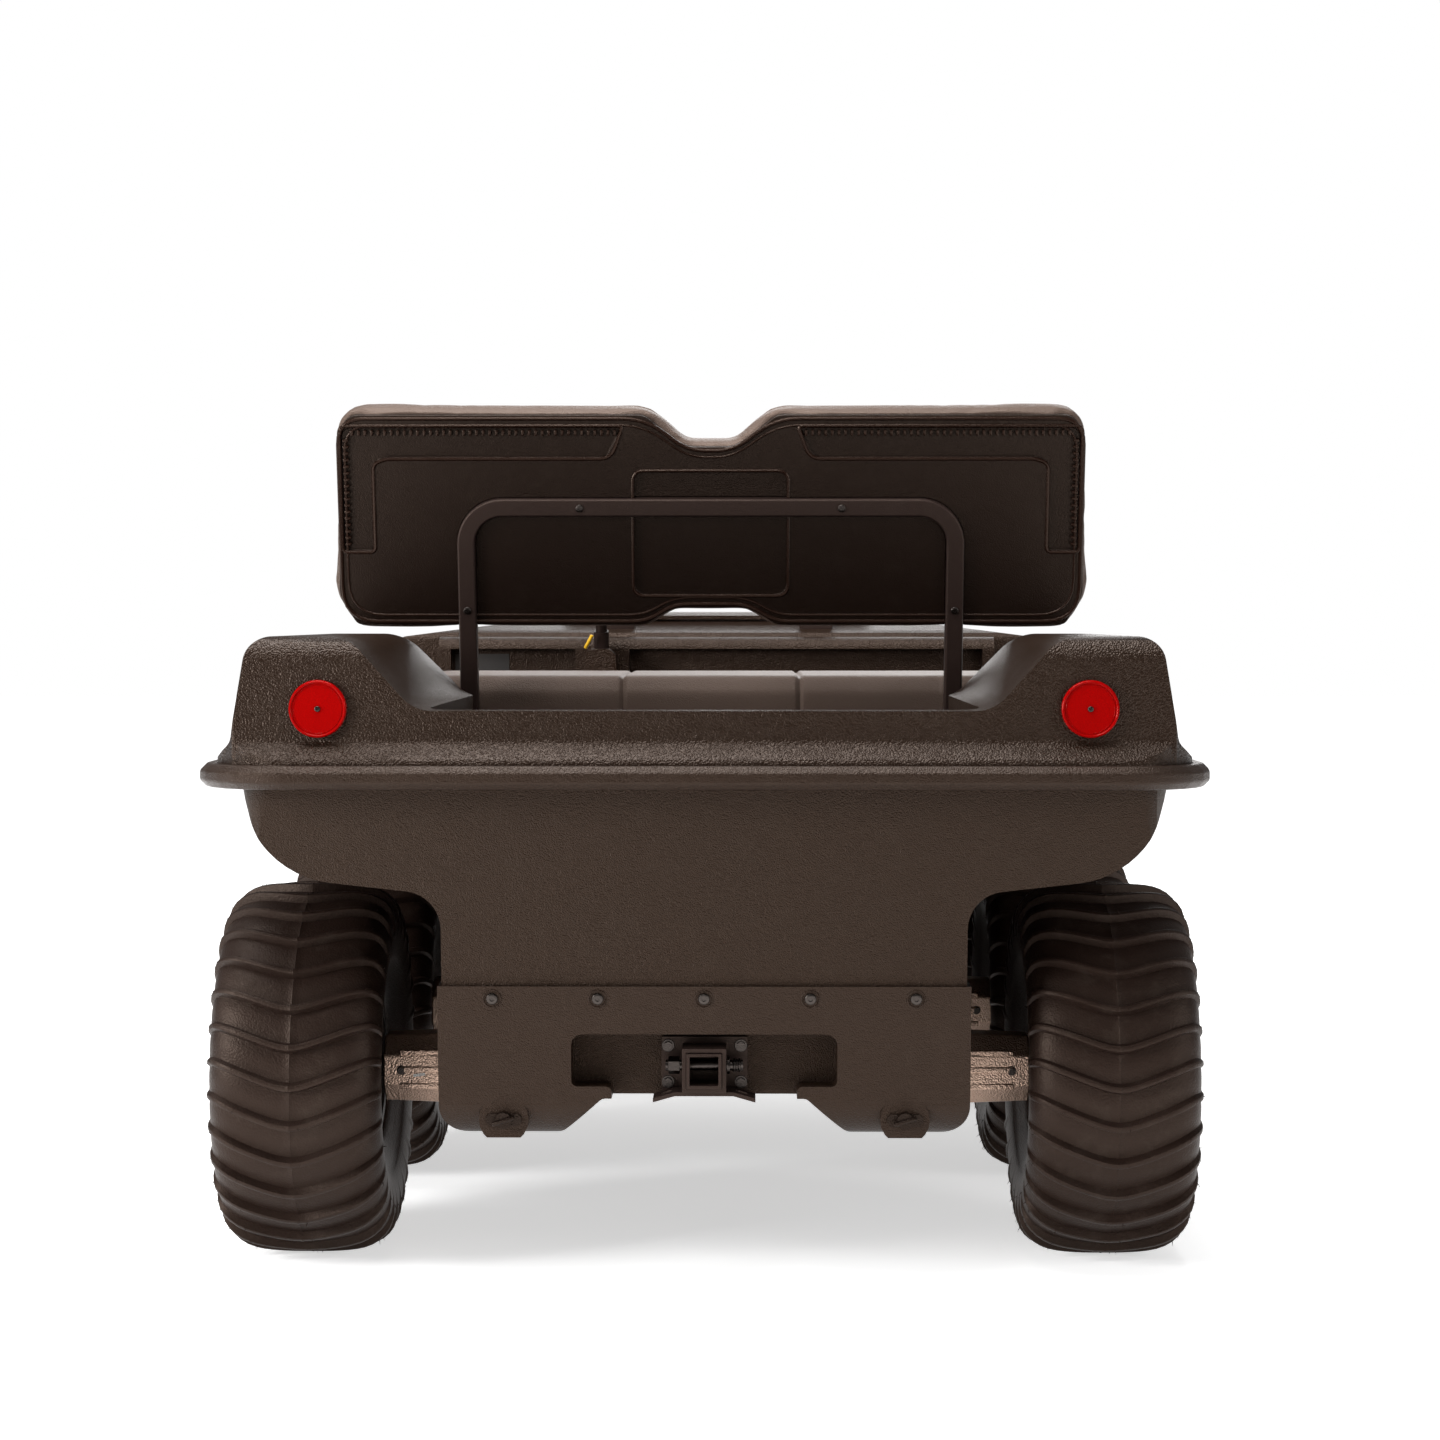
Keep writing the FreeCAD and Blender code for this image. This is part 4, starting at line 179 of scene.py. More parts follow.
def build_pebble_group():
    """Moulded grain: slow blotches and dust as masks, pebbles as height."""
    tree, start, end = group(
        "Pebble grain",
        [("Vector", "NodeSocketVector", None), ("Scale", "NodeSocketFloat", 400.0)],
        [
            ("Mask", "NodeSocketFloat"),
            ("Dust", "NodeSocketFloat"),
            ("Height", "NodeSocketFloat"),
        ],
    )
    cells = node(tree, "ShaderNodeTexVoronoi", feature="SMOOTH_F1", Smoothness=0.6)
    wrinkle = node(tree, "ShaderNodeTexNoise", Detail=2.0, Roughness=0.6)
    broad = node(tree, "ShaderNodeTexNoise", Scale=7.0, Detail=3.0, Roughness=0.6)
    dust = node(tree, "ShaderNodeTexNoise", Scale=24.0, Detail=6.0, Roughness=0.75)
    for texture in (cells, wrinkle, broad, dust):
        tree.links.new(start.outputs["Vector"], texture.inputs["Vector"])
    tree.links.new(start.outputs["Scale"], cells.inputs["Scale"])
    tree.links.new(
        math_node(tree, "MULTIPLY", start.outputs["Scale"], 0.45), wrinkle.inputs["Scale"]
    )
    pebbles = math_node(tree, "SUBTRACT", 0.9, cells.outputs["Distance"])
    tree.links.new(
        math_node(tree, "ADD", pebbles, wrinkle.outputs["Fac"]), end.inputs["Height"]
    )
    tree.links.new(broad.outputs["Fac"], end.inputs["Mask"])
    spread = node(tree, "ShaderNodeMapRange")
    spread.inputs["From Min"].default_value = 0.52
    spread.inputs["From Max"].default_value = 0.80
    tree.links.new(dust.outputs["Fac"], spread.inputs["Value"])
    tree.links.new(spread.outputs["Result"], end.inputs["Dust"])
    return tree


def principled(name, base, roughness, **sockets):
    """Material with a Principled shader, its texture coordinates and its tree."""
    material = bpy.data.materials.new(name)
    material.use_nodes = True
    tree = material.node_tree
    shader = tree.nodes["Principled BSDF"]
    shader.inputs["Base Color"].default_value = (*base, 1)
    shader.inputs["Roughness"].default_value = roughness
    for label, value in sockets.items():
        shader.inputs[label.replace("_", " ")].default_value = value
    place = tree.nodes.new("ShaderNodeTexCoord")
    return material, tree, shader, place.outputs["Object"]


def blend(tree, factor, first, second):
    """Mix of two colours, each a value or a socket."""
    mix = tree.nodes.new("ShaderNodeMix")
    mix.data_type = "RGBA"
    tree.links.new(factor, mix.inputs["Factor"])
    for label, value in (("A", first), ("B", second)):
        if isinstance(value, tuple):
            mix.inputs[label].default_value = (*value, 1)
        else:
            tree.links.new(value, mix.inputs[label])
    return mix.outputs["Result"]


def mottle(tree, shader, place, base, spread, grain_scale, bump, roughness, rough_spread, dust):
    """Grain height to Normal, and slow colour, dust and roughness changes."""
    pebble = tree.nodes.new("ShaderNodeGroup")
    pebble.node_tree = bpy.data.node_groups["Pebble grain"]
    pebble.inputs["Scale"].default_value = grain_scale
    tree.links.new(place, pebble.inputs["Vector"])
    relief = node(tree, "ShaderNodeBump", Strength=bump, Distance=0.0016)
    tree.links.new(pebble.outputs["Height"], relief.inputs["Height"])
    tree.links.new(relief.outputs["Normal"], shader.inputs["Normal"])
    ramp = tree.nodes.new("ShaderNodeMapRange")
    ramp.inputs["To Min"].default_value = roughness - rough_spread
    ramp.inputs["To Max"].default_value = roughness + rough_spread
    tree.links.new(pebble.outputs["Mask"], ramp.inputs["Value"])
    tree.links.new(ramp.outputs["Result"], shader.inputs["Roughness"])
    low = tuple(c * (1 - spread) for c in base)
    high = tuple(min(1, c * (1 + spread)) for c in base)
    plain = blend(tree, pebble.outputs["Mask"], low, high)
    dusty = tuple(c + dust * (g - c) for c, g in zip(base, (0.30, 0.25, 0.20)))
    tree.links.new(
        blend(tree, pebble.outputs["Dust"], plain, dusty), shader.inputs["Base Color"]
    )


def build_materials(colours):
    """One material for each finish on the vehicle."""
    build_pebble_group()
    rows = [
        ("hull_plastic", tuple(colours.hull), 0.42, 0.08, 560, 0.75, 0.05, 0.02),
        ("body_plastic", tuple(colours.body), 0.33, 0.07, 400, 0.80, 0.05, 0.02),
        ("trim_plastic", tuple(colours.trim), 0.36, 0.08, 560, 0.60, 0.05, 0.02),
        ("shell_plastic", tuple(colours.shell), 0.30, 0.08, 620, 0.35, 0.05, 0.01),
        # Painted highlight: a lighter copy of the shell colour for the beads, channels and teeth,
        # standing in for the bright lines that light makes along pressed edges.
        ("shell_painted_highlight", tuple(2.6 * c for c in colours.shell), 0.24, 0.08, 620, 0.20, 0.04, 0.01),
        ("dark_screw", (0.050, 0.042, 0.038), 0.30, 0.10, 500, 0.15, 0.06, 0.02),
        ("frame_metal", tuple(colours.frame), 0.40, 0.06, 1100, 0.20, 0.05, 0.02),
        ("seat_vinyl", tuple(colours.vinyl), 0.46, 0.06, 520, 0.45, 0.05, 0.01),
        ("grip_rubber", (0.012, 0.011, 0.011), 0.65, 0.10, 700, 0.40, 0.05, 0.02),
        ("cast_engine", (0.11, 0.11, 0.115), 0.55, 0.15, 300, 0.60, 0.08, 0.10),
        ("cast_aluminium", tuple(colours.metal), 0.42, 0.45, 420, 0.60, 0.12, 0.10),
        ("bright_steel", (0.42, 0.41, 0.40), 0.32, 0.10, 500, 0.20, 0.08, 0.10),
        ("tyre_rubber", tuple(colours.tyre), 0.50, 0.14, 360, 0.30, 0.07, 0.06),
        ("rim_metal", (0.030, 0.026, 0.024), 0.40, 0.08, 900, 0.25, 0.06, 0.03),
        ("red_lens", tuple(colours.red), 0.16, 0.05, 500, 0.10, 0.03, 0.0),
        ("clear_lens", (0.62, 0.65, 0.68), 0.12, 0.04, 300, 0.08, 0.03, 0.0),
        ("plate_bare", (0.045, 0.043, 0.042), 0.35, 0.05, 900, 0.15, 0.04, 0.02),
        ("paint_mark", (0.70, 0.70, 0.68), 0.60, 0.10, 300, 0.30, 0.05, 0.0),
        ("cable_yellow", (0.62, 0.36, 0.02), 0.45, 0.05, 500, 0.10, 0.05, 0.0),
        ("seam_thread", (0.030, 0.024, 0.020), 0.80, 0.10, 900, 0.50, 0.05, 0.0),
    ]
    for name, base, roughness, spread, scale, bump, rough_spread, dust in rows:
        material, tree, shader, place = principled(name, base, roughness)
        mottle(
            tree, shader, place, base, spread, scale, bump, roughness, rough_spread, dust
        )
        if name in ("cast_aluminium", "bright_steel", "dark_screw"):
            shader.inputs["Metallic"].default_value = 1.0
        elif name not in ("red_lens", "clear_lens"):
            shader.inputs["Specular IOR Level"].default_value = 0.26
            shader.inputs["Specular Tint"].default_value = (1.0, 0.76, 0.62, 1)
        elif name == "red_lens":
            shader.inputs["Specular IOR Level"].default_value = 0.15
            shader.inputs["Specular Tint"].default_value = (1.0, 0.30, 0.25, 1)
        materials[name] = material


# Modelling helpers


def deselect():
    bpy.ops.object.select_all(action="DESELECT")


def primitive(kind, **values):
    """Adds a mesh primitive with nothing else selected."""
    deselect()
    getattr(bpy.ops.mesh, "primitive_%s_add" % kind)(**values)
    return bpy.context.object


def pick(piece, test, mode="FACE"):
    """Selects the faces or edges whose middle and normal pass a test."""
    bpy.ops.object.mode_set(mode="EDIT")
    bpy.ops.mesh.select_mode(type=mode)
    bpy.ops.mesh.select_all(action="DESELECT")
    form = bmesh.from_edit_mesh(piece.data)
    parts = form.faces if mode == "FACE" else form.edges
    for part in parts:
        if mode == "FACE":
            part.select_set(test(part.calc_center_median(), part.normal))
        else:
            first, second = (v.co for v in part.verts)
            part.select_set(test((first + second) / 2, (second - first).normalized()))
    form.select_flush_mode()
    bmesh.update_edit_mesh(piece.data)


def object_mode():
    bpy.ops.object.mode_set(mode="OBJECT")


def modify(piece, kind, **values):
    """Adds a modifier, sets it and applies it."""
    bpy.context.view_layer.objects.active = piece
    added = piece.modifiers.new(kind, kind)
    for name, value in values.items():
        setattr(added, name, value)
    bpy.ops.object.modifier_apply(modifier=added.name)


def apply_place(piece):
    """Moves an object's place, turn and scale into its mesh."""
    deselect()
    piece.select_set(True)
    bpy.context.view_layer.objects.active = piece
    bpy.ops.object.transform_apply(location=True, rotation=True, scale=True)


def smooth(piece, degrees=35):
    deselect()
    piece.select_set(True)
    bpy.context.view_layer.objects.active = piece
    bpy.ops.object.shade_smooth_by_angle(angle=math.radians(degrees))


def copies(piece, places):
    """The piece and its copies, each with its own mesh, at the given places."""
    made = []
    for place in places:
        twin = piece.copy()
        twin.data = piece.data.copy()
        twin.data.transform(place)
        bpy.context.scene.collection.objects.link(twin)
        made.append(twin)
    bpy.data.objects.remove(piece)
    return made


def joined(pieces):
    """Several objects as one."""
    deselect()
    for piece in pieces:
        piece.select_set(True)
    bpy.context.view_layer.objects.active = pieces[0]
    if len(pieces) > 1:
        bpy.ops.object.join()
    return bpy.context.view_layer.objects.active


def hand_over(piece, name, slot, body="body", material=None, degrees=35, replaced=()):
    """Names, dresses and mounts a finished piece."""
    apply_place(piece)
    piece.name = name
    piece.data.name = name
    piece.data.materials.clear()
    piece.data.materials.append(materials[material or slot])
    if degrees:
        smooth(piece, degrees)
    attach(piece, body)
    if replaced:
        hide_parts(*replaced)
    return piece


def turned(middle, axis, angle):
    """Turn about an axis through a point."""
    return (
        Matrix.Translation(middle) @ Matrix.Rotation(angle, 4, axis)
        @ Matrix.Translation(-middle)
    )


def facing(spot, direction):
    """Place that sets a piece's +Z along a direction at a spot."""
    return Matrix.Translation(spot) @ Vector(direction).to_track_quat("Z", "Y").to_matrix().to_4x4()


def screw_head(radius, height, recess=0.5):
    """Round button head with a hex recess, its seat at the origin."""
    head = primitive("cylinder", vertices=20, radius=radius, depth=height,
                     location=(0, 0, height / 2))
    pick(head, lambda middle, normal: normal.z > 0.9)
    bpy.ops.mesh.bevel(offset=height * 0.55, segments=3, affect="EDGES")
    pick(head, lambda middle, normal: normal.z > 0.99)
    bpy.ops.mesh.inset(thickness=radius * (1 - recess) * 0.6)
    bpy.ops.mesh.inset(thickness=radius * 0.02)
    bpy.ops.mesh.extrude_region_move(TRANSFORM_OT_translate={"value": (0, 0, -height * 0.5)})
    object_mode()
    apply_place(head)
    return head


def hex_bolt(radius, height):
    """Hex head on a washer, its seat at the origin."""
    washer = primitive("cylinder", vertices=24, radius=radius * 1.45, depth=height * 0.3,
                       location=(0, 0, height * 0.15))
    pick(washer, lambda middle, normal: normal.z > 0.9)
    bpy.ops.mesh.bevel(offset=height * 0.08, segments=1, affect="EDGES")
    object_mode()
    apply_place(washer)
    head = primitive("cylinder", vertices=6, radius=radius, depth=height * 0.8,
                     location=(0, 0, height * 0.7))
    pick(head, lambda middle, normal: normal.z > 0.9)
    bpy.ops.mesh.inset(thickness=radius * 0.15)
    bpy.ops.mesh.bevel(offset=height * 0.10, segments=1, affect="EDGES")
    object_mode()
    apply_place(head)
    return joined([washer, head])


# Node shapes that stay, with softened edges

EDGE_RADII = {
    "lower_hull": 0.004, "upper_body": 0.003, "rub_rail": 0.006, "skid_plate": 0.0012,
    "dash_panel": 0.004, "hood_lid": 0.003, "seat_base": 0.004, "floor_pan": 0.003,
    "seat_back_frame": 0.004, "engine": 0.010, "seat_back_shell": 0.0015,
    "hitch_receiver": 0.002, "drawbar_stub": 0.002, "engine_bearers": 0.002,
    "axle_housing_rear": 0.003, "axle_housing_middle": 0.003, "axle_housing_front": 0.003,
}


NODE_FINISHES = {
    "seat_back_shell": "shell_plastic", "drain_plugs": "shell_plastic",
    "hitch_pin": "dark_screw",
}


def dress_node(name):
    """Gives a carried-over solid its material and rounds its sharp edges."""
    piece = nodes[name]
    piece.data.materials.clear()
    piece.data.materials.append(materials[NODE_FINISHES.get(name, slots[name])])
    for face in piece.data.polygons:
        face.use_smooth = True
    weld = piece.modifiers.new("Weld", "WELD")
    weld.merge_threshold = 0.00002
    if name in EDGE_RADII:
        flat = piece.modifiers.new("Flat", "DECIMATE")
        flat.decimate_type = "DISSOLVE"
        flat.angle_limit = math.radians(0.3)
        bevel = piece.modifiers.new("Edges", "BEVEL")
        bevel.width = EDGE_RADII[name]
        bevel.segments = 3
        bevel.limit_method = "ANGLE"
        bevel.angle_limit = math.radians(44)
        bevel.miter_outer = "MITER_ARC"
        bevel.loop_slide = False
    split = piece.modifiers.new("Creases", "EDGE_SPLIT")
    split.split_angle = math.radians(44)
    piece.modifiers.new("Shading", "WEIGHTED_NORMAL").keep_sharp = True


# Wheels

AXLES = {"rear": -0.835, "middle": -0.145, "front": 0.545}
SIDES = {"left": -1, "right": 1}
WHEEL_SIDE = 0.599
WHEEL_HEIGHT = 0.282

# Carcass from the middle of the tread to the bead: across, radius, share of a lug.
CARCASS = [
    (0.0, 0.2706, 1.0), (0.0012, 0.2699, 1.0), (0.014, 0.2698, 1.0),
    (0.028, 0.2694, 1.0), (0.042, 0.2686, 1.0), (0.056, 0.2675, 1.0),
    (0.068, 0.2660, 1.0), (0.079, 0.2638, 1.0), (0.090, 0.2605, 0.95),
    (0.100, 0.2560, 0.85), (0.1085, 0.2502, 0.72), (0.1152, 0.2430, 0.58),
    (0.1200, 0.2340, 0.44), (0.1235, 0.2235, 0.30), (0.1250, 0.2120, 0.16),
    (0.1246, 0.1990, 0.05), (0.1222, 0.1830, 0.0), (0.1180, 0.1660, 0.0),
    (0.1165, 0.1640, 0.0), (0.1115, 0.1490, 0.0), (0.1060, 0.1360, 0.0),
    (0.1030, 0.1250, 0.0), (0.0985, 0.1165, 0.0), (0.0950, 0.1125, 0.0),
    (0.0900, 0.1100, 0.0),
]
# One pitch from the start of a lug: place along it, height of the lug.
LUG_ROWS = [
    (0.0, 0.0), (0.03, 0.55), (0.06, 0.92), (0.10, 1.0), (0.16, 1.0), (0.20, 0.92),
    (0.23, 0.55), (0.27, 0.05), (0.36, 0.03), (0.50, 0.09), (0.65, 0.12),
    (0.80, 0.09), (0.92, 0.03), (1.0, 0.0),
]


def tread_point(settings, index, row):
    """Point of the tyre at a place across the carcass and along one pitch."""
    count = len(CARCASS) - 1
    side = -1 if index < count else 1
    place = abs(index - count)
    across, radius, share = CARCASS[place]
    inner = CARCASS[max(place - 1, 0)]
    outer = CARCASS[min(place + 1, count)]
    run = Vector((outer[0] - inner[0], outer[1] - inner[1])).normalized()
    out = Vector((-run.y, run.x)) if place else Vector((0, 1))
    along, height = LUG_ROWS[row]
    rise = settings.lug_height * share * height
    across += max(out.x, 0) * rise
    radius += out.y * rise if out.y > 0 else 0
    reach = min(CARCASS[place][0] / 0.112, 1) if place < 14 else 1
    lead = (math.hypot(reach, 0.22) - 0.22) / (math.hypot(1, 0.22) - 0.22)
    angle = along * 2 * math.pi / settings.lugs
    angle += settings.lug_lead / settings.radius * lead
    return Vector((side * across, -radius * math.cos(angle), radius * math.sin(angle)))


def make_tyre(settings):
    """One tyre at the origin, its axle along X."""
    columns, rows = 2 * (len(CARCASS) - 1), len(LUG_ROWS) - 1
    tyre = primitive("grid", x_subdivisions=columns, y_subdivisions=rows, size=2)
    for vertex in tyre.data.vertices:
        index = round((vertex.co.x + 1) / 2 * columns)
        row = round((vertex.co.y + 1) / 2 * rows)
        vertex.co = tread_point(settings, index, row)
    bpy.ops.object.mode_set(mode="EDIT")
    bpy.ops.mesh.select_all(action="SELECT")
    bpy.ops.mesh.spin(
        steps=settings.lugs - 1, dupli=True, center=(0, 0, 0), axis=(1, 0, 0),
        angle=2 * math.pi * (settings.lugs - 1) / settings.lugs,
    )
    bpy.ops.mesh.select_all(action="SELECT")
    bpy.ops.mesh.remove_doubles(threshold=0.0002)
    bpy.ops.mesh.normals_make_consistent(inside=False)
    object_mode()
    if tyre.data.polygons[len(tyre.data.polygons) // 2].center.dot(
        tyre.data.polygons[len(tyre.data.polygons) // 2].normal
    ) < 0:
        tyre.data.flip_normals()
    return tyre


def make_whiskers(settings):
    """Moulding whiskers that stand on the lugs."""
    random.seed(7)
    hair = primitive("cone", vertices=4, radius1=0.0006, radius2=0.0002,
                     depth=settings.whisker, location=(0, 0, settings.whisker / 2))
    apply_place(hair)
    places = []
    for lug in range(settings.lugs):
        for index in (9, 12, 17, 26, 33, 38, 13, 36):
            spot = tread_point(settings, index, 3 + (index + lug) % 3)
            turn = Matrix.Rotation(lug * 2 * math.pi / settings.lugs, 4, "X")
            out = Vector((spot.x * 0.9, spot.y, spot.z)).normalized()
            lean = Vector([random.uniform(-0.5, 0.5) for _ in range(3)])
            size = Matrix.Scale(random.uniform(0.5, 1.1), 4)
            places.append(turn @ facing(spot - out * 0.0005, out + lean) @ size)
    return joined(copies(hair, places))


def make_rim():
    """Dished rim with its bolt ring and centre cap, outside along +X."""
    rim = primitive("cylinder", vertices=60, radius=0.1105, depth=0.176, end_fill_type="NGON",
                    rotation=(0, math.pi / 2, 0))
    apply_place(rim)
    pick(rim, lambda middle, normal: normal.x > 0.9)
    for inset, depth in (
        (0.005, 0.0), (0.004, -0.007), (0.005, -0.020), (0.014, -0.006), (0.006, 0.006),
        (0.022, 0.004), (0.004, -0.004), (0.018, 0.0), (0.004, 0.012),
    ):
        bpy.ops.mesh.inset(thickness=inset)
        bpy.ops.transform.translate(value=(depth, 0, 0))
    object_mode()
    pick(rim, lambda middle, normal: normal.x < -0.9)
    for inset, depth in ((0.005, 0.0), (0.004, 0.010), (0.004, 0.070), (0.050, 0.010)):
        bpy.ops.mesh.inset(thickness=inset)
        bpy.ops.transform.translate(value=(depth, 0, 0))
    object_mode()
    apply_place(rim)
    flange = primitive("torus", major_radius=0.1115, minor_radius=0.0045, major_segments=60,
                       minor_segments=10, rotation=(0, math.pi / 2, 0), location=(0.086, 0, 0))
    apply_place(flange)
    inner = flange.copy()
    inner.data = flange.data.copy()
    inner.data.transform(Matrix.Translation((-0.172, 0, 0)))
    bpy.context.scene.collection.objects.link(inner)
    bolt = hex_bolt(0.0075, 0.010)
    turn = Matrix.Rotation(math.pi / 2, 4, "Y")
    ring = [
        Matrix.Rotation(2 * math.pi * i / 5, 4, "X") @ Matrix.Translation((0.058, 0.042, 0)) @ turn
        for i in range(5)
    ]
    return joined([rim, flange, inner] + copies(bolt, ring))


class VEHICLE_OT_wheels(bpy.types.Operator):
    """Six tyres with chevron lugs and whiskers, and their rims"""

    bl_idname = "vehicle.wheels"
    bl_label = "Wheels"

    def execute(self, context):
        settings = context.scene.vehicle_tyre
        tyre = joined([make_tyre(settings), make_whiskers(settings)])
        rim = make_rim()
        places = []
        rim_places = []
        names = []
        for axle, along in AXLES.items():
            for side, sign in SIDES.items():
                spot = Matrix.Translation((sign * WHEEL_SIDE, along, WHEEL_HEIGHT))
                turn = Matrix.Rotation(0.35 * len(names), 4, "X") if axle != "rear" else Matrix()
                places.append(spot @ turn)
                flip = Matrix() if sign > 0 else Matrix.Rotation(math.pi, 4, "Z")
                rim_places.append(spot @ flip)
                names.append("%s_%s" % (axle, side))
        for name, piece in zip(names, copies(tyre, places)):
            hand_over(piece, "tread_" + name, "tyre_rubber", "wheel_" + name,
                      degrees=38, replaced=["tyre_" + name])
        for name, piece in zip(names, copies(rim, rim_places)):
            hand_over(piece, "rim_face_" + name, "rim_metal", "wheel_" + name, degrees=38)
        return {"FINISHED"}


# Padding


def soft_copy(name, swell):
    """Slightly smaller copy of a node's mesh, free of its body."""
    piece = nodes[name].copy()
    piece.data = nodes[name].data.copy()
    piece.modifiers.clear()
    piece.parent = None
    piece.matrix_world = Matrix()
    for key in list(piece.keys()):
        if key.startswith("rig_"):
            del piece[key]
    bpy.context.scene.collection.objects.link(piece)
    low = Vector([min(v.co[i] for v in piece.data.vertices) for i in range(3)])
    high = Vector([max(v.co[i] for v in piece.data.vertices) for i in range(3)])
    middle = (low + high) / 2
    for vertex in piece.data.vertices:
        for i in range(3):
            share = 1 - 0.3 * swell / (high[i] - low[i])
            vertex.co[i] = middle[i] + (vertex.co[i] - middle[i]) * share
    return piece


def inflate(piece, settings, limit):
    """Blows a cover up from inside, no further than it may puff."""
    deselect()
    piece.select_set(True)
    modify(piece, "REMESH", mode="VOXEL", voxel_size=settings.voxel)
    before = [v.co.copy() for v in piece.data.vertices]
    scene = bpy.context.scene
    scene.frame_set(1)
    cloth = piece.modifiers.new("Cover", "CLOTH")
    cloth.settings.use_pressure = True
    cloth.settings.uniform_pressure_force = 4
    cloth.settings.effector_weights.gravity = 0
    cloth.settings.quality = 5
    cloth.point_cache.frame_start = 1
    cloth.point_cache.frame_end = 20
    for step in range(1, 21):
        scene.frame_set(step)
    bpy.context.view_layer.objects.active = piece
    bpy.ops.object.modifier_apply(modifier=cloth.name)
    scene.frame_set(1)
    for vertex, start in zip(piece.data.vertices, before):
        move = vertex.co - start
        if move.length > settings.swell:
            move = move.normalized() * settings.swell
        vertex.co = limit(start + move)
    modify(piece, "SMOOTH", factor=0.5, iterations=6)
    modify(piece, "SUBSURF", levels=1, render_levels=1)


def press_seams(piece, depth, distance, width=0.004):
    """Presses grooves where a distance from a seam is small."""
    shape = bmesh.new()
    shape.from_mesh(piece.data)
    moves = [
        (vertex, vertex.normal * -depth * math.exp(-((distance(vertex.co) / width) ** 2)))
        for vertex in shape.verts
    ]
    for vertex, move in moves:
        vertex.co += move
    shape.to_mesh(piece.data)
    shape.free()


BACK_FOOT = Vector((0, -0.300, 0.860))
BACK_LEAN = math.radians(12)
TO_BACK = Matrix.Translation(BACK_FOOT) @ Matrix.Rotation(BACK_LEAN, 4, "X")
FROM_BACK = TO_BACK.inverted()


class VEHICLE_OT_padding(bpy.types.Operator):
    """Vinyl cushion in three parts and the backrest's pad"""

    bl_idname = "vehicle.padding"
    bl_label = "Padding"

    def execute(self, context):
        settings = context.scene.vehicle_padding

        def on_base(spot):
            return Vector((spot.x, spot.y, max(spot.z, 0.7905)))

        cushion = soft_copy("seat_cushion", settings.swell)
        inflate(cushion, settings, on_base)
        press_seams(
            cushion, settings.seam,
            lambda spot: min(abs(spot.x - x) for x in (-0.515, -0.153, 0.152, 0.512)),
        )
        hand_over(cushion, "cushion_cover", "seat_vinyl", degrees=60, replaced=["seat_cushion"])

        def on_shell(spot):
            local = FROM_BACK @ spot
            if abs(local.x) < 0.628:
                local.y = max(local.y, 0.0105)
            return TO_BACK @ local

        pad = soft_copy("seat_back_pad", settings.swell)
        inflate(pad, settings, on_shell)

        def from_edge(spot):
            local = FROM_BACK @ spot
            return local.y - 0.060 if abs(local.x) > 0.60 or local.z > 0.44 else 1

        press_seams(pad, settings.seam * 0.6, from_edge)
        hand_over(pad, "back_cover", "seat_vinyl", degrees=60, replaced=["seat_back_pad"])
        return {"FINISHED"}


# Small fittings


def seat_on(name, origin, direction, lift=0.0):
    """Where a ray from a point meets a node, and the outward normal there."""
    hit, spot, normal, _ = nodes[name].ray_cast(Vector(origin), Vector(direction).normalized())
    if not hit:
        raise RuntimeError("nothing of %s lies that way from %s" % (name, tuple(origin)))
    if normal.dot(Vector(direction)) > 0:
        normal = -normal
    return spot + normal * lift, normal


def fitted(piece, name, origins, direction, lift=0.0, turn=None):
    """Copies of a piece, each seated on a node where a ray meets it."""
    places = []
    for origin in origins:
        spot, normal = seat_on(name, origin, direction, lift)
        places.append(facing(spot, normal) @ (turn or Matrix()))
    return joined(copies(piece, places))


def bar(size, spot=(0, 0, 0), round_by=0.3, segments=3):
    """Block with rounded edges; size is full width, depth and height."""
    block = primitive("cube", size=1, location=spot)
    block.scale = size
    apply_place(block)
    pick(block, lambda middle, normal: True)
    bpy.ops.mesh.bevel(offset=min(size) * round_by, segments=segments, affect="EDGES")
    object_mode()
    return block


def ring(major, minor, height=0.0, count=48):
    """Ring round Z, seated at a height above the origin."""
    made = primitive("torus", major_radius=major, minor_radius=minor, major_segments=count,
                     minor_segments=10, location=(0, 0, height))
    apply_place(made)
    return made


def rounded_path(corners, steps=6):
    """Closed outline through (x, z, radius) corners, each rounded."""
    points = []
    count = len(corners)
    for i, (x, z, radius) in enumerate(corners):
        here = Vector((x, z))
        before = Vector(corners[i - 1][:2]) - here
        after = Vector(corners[(i + 1) % count][:2]) - here
        reach = min(radius, before.length * 0.45, after.length * 0.45)
        start = here + before.normalized() * reach
        end = here + after.normalized() * reach
        for step in range(steps + 1):
            share = step / steps
            points.append(
                start * (1 - share) ** 2 + here * 2 * share * (1 - share) + end * share ** 2
            )
    return points


def piped(points, radius, closed=True):
    """Round bead along points in space, as a mesh."""
    deselect()
    curve = bpy.data.curves.new("bead", "CURVE")
    curve.dimensions = "3D"
    curve.bevel_depth = radius
    curve.bevel_resolution = 2
    line = curve.splines.new("POLY")
    line.points.add(len(points) - 1)
    for point, spot in zip(line.points, points):
        point.co = (*spot, 1)
    line.use_cyclic_u = closed
    made = bpy.data.objects.new("bead", curve)
    bpy.context.scene.collection.objects.link(made)
    made.select_set(True)
    bpy.context.view_layer.objects.active = made
    bpy.ops.object.convert(target="MESH")
    return bpy.context.object


def back_outline(inset, top=0.455, low=0.097, half=0.630):
    """Backrest shell's outline, set in, in the backrest's own plane."""
    side = [
        (0.040 - inset * 0.2, top - 0.054 - inset, 0.03), (0.106 + inset * 0.4, top - inset, 0.04),
        (half - inset, top - inset, 0.045), (half - inset, low + inset, 0.060),
        (0.106 + inset * 0.4, low + inset, 0.03), (0.062, low + 0.030 + inset, 0.03),
    ]
    return side + [(-x, z, r) for x, z, r in reversed(side)]


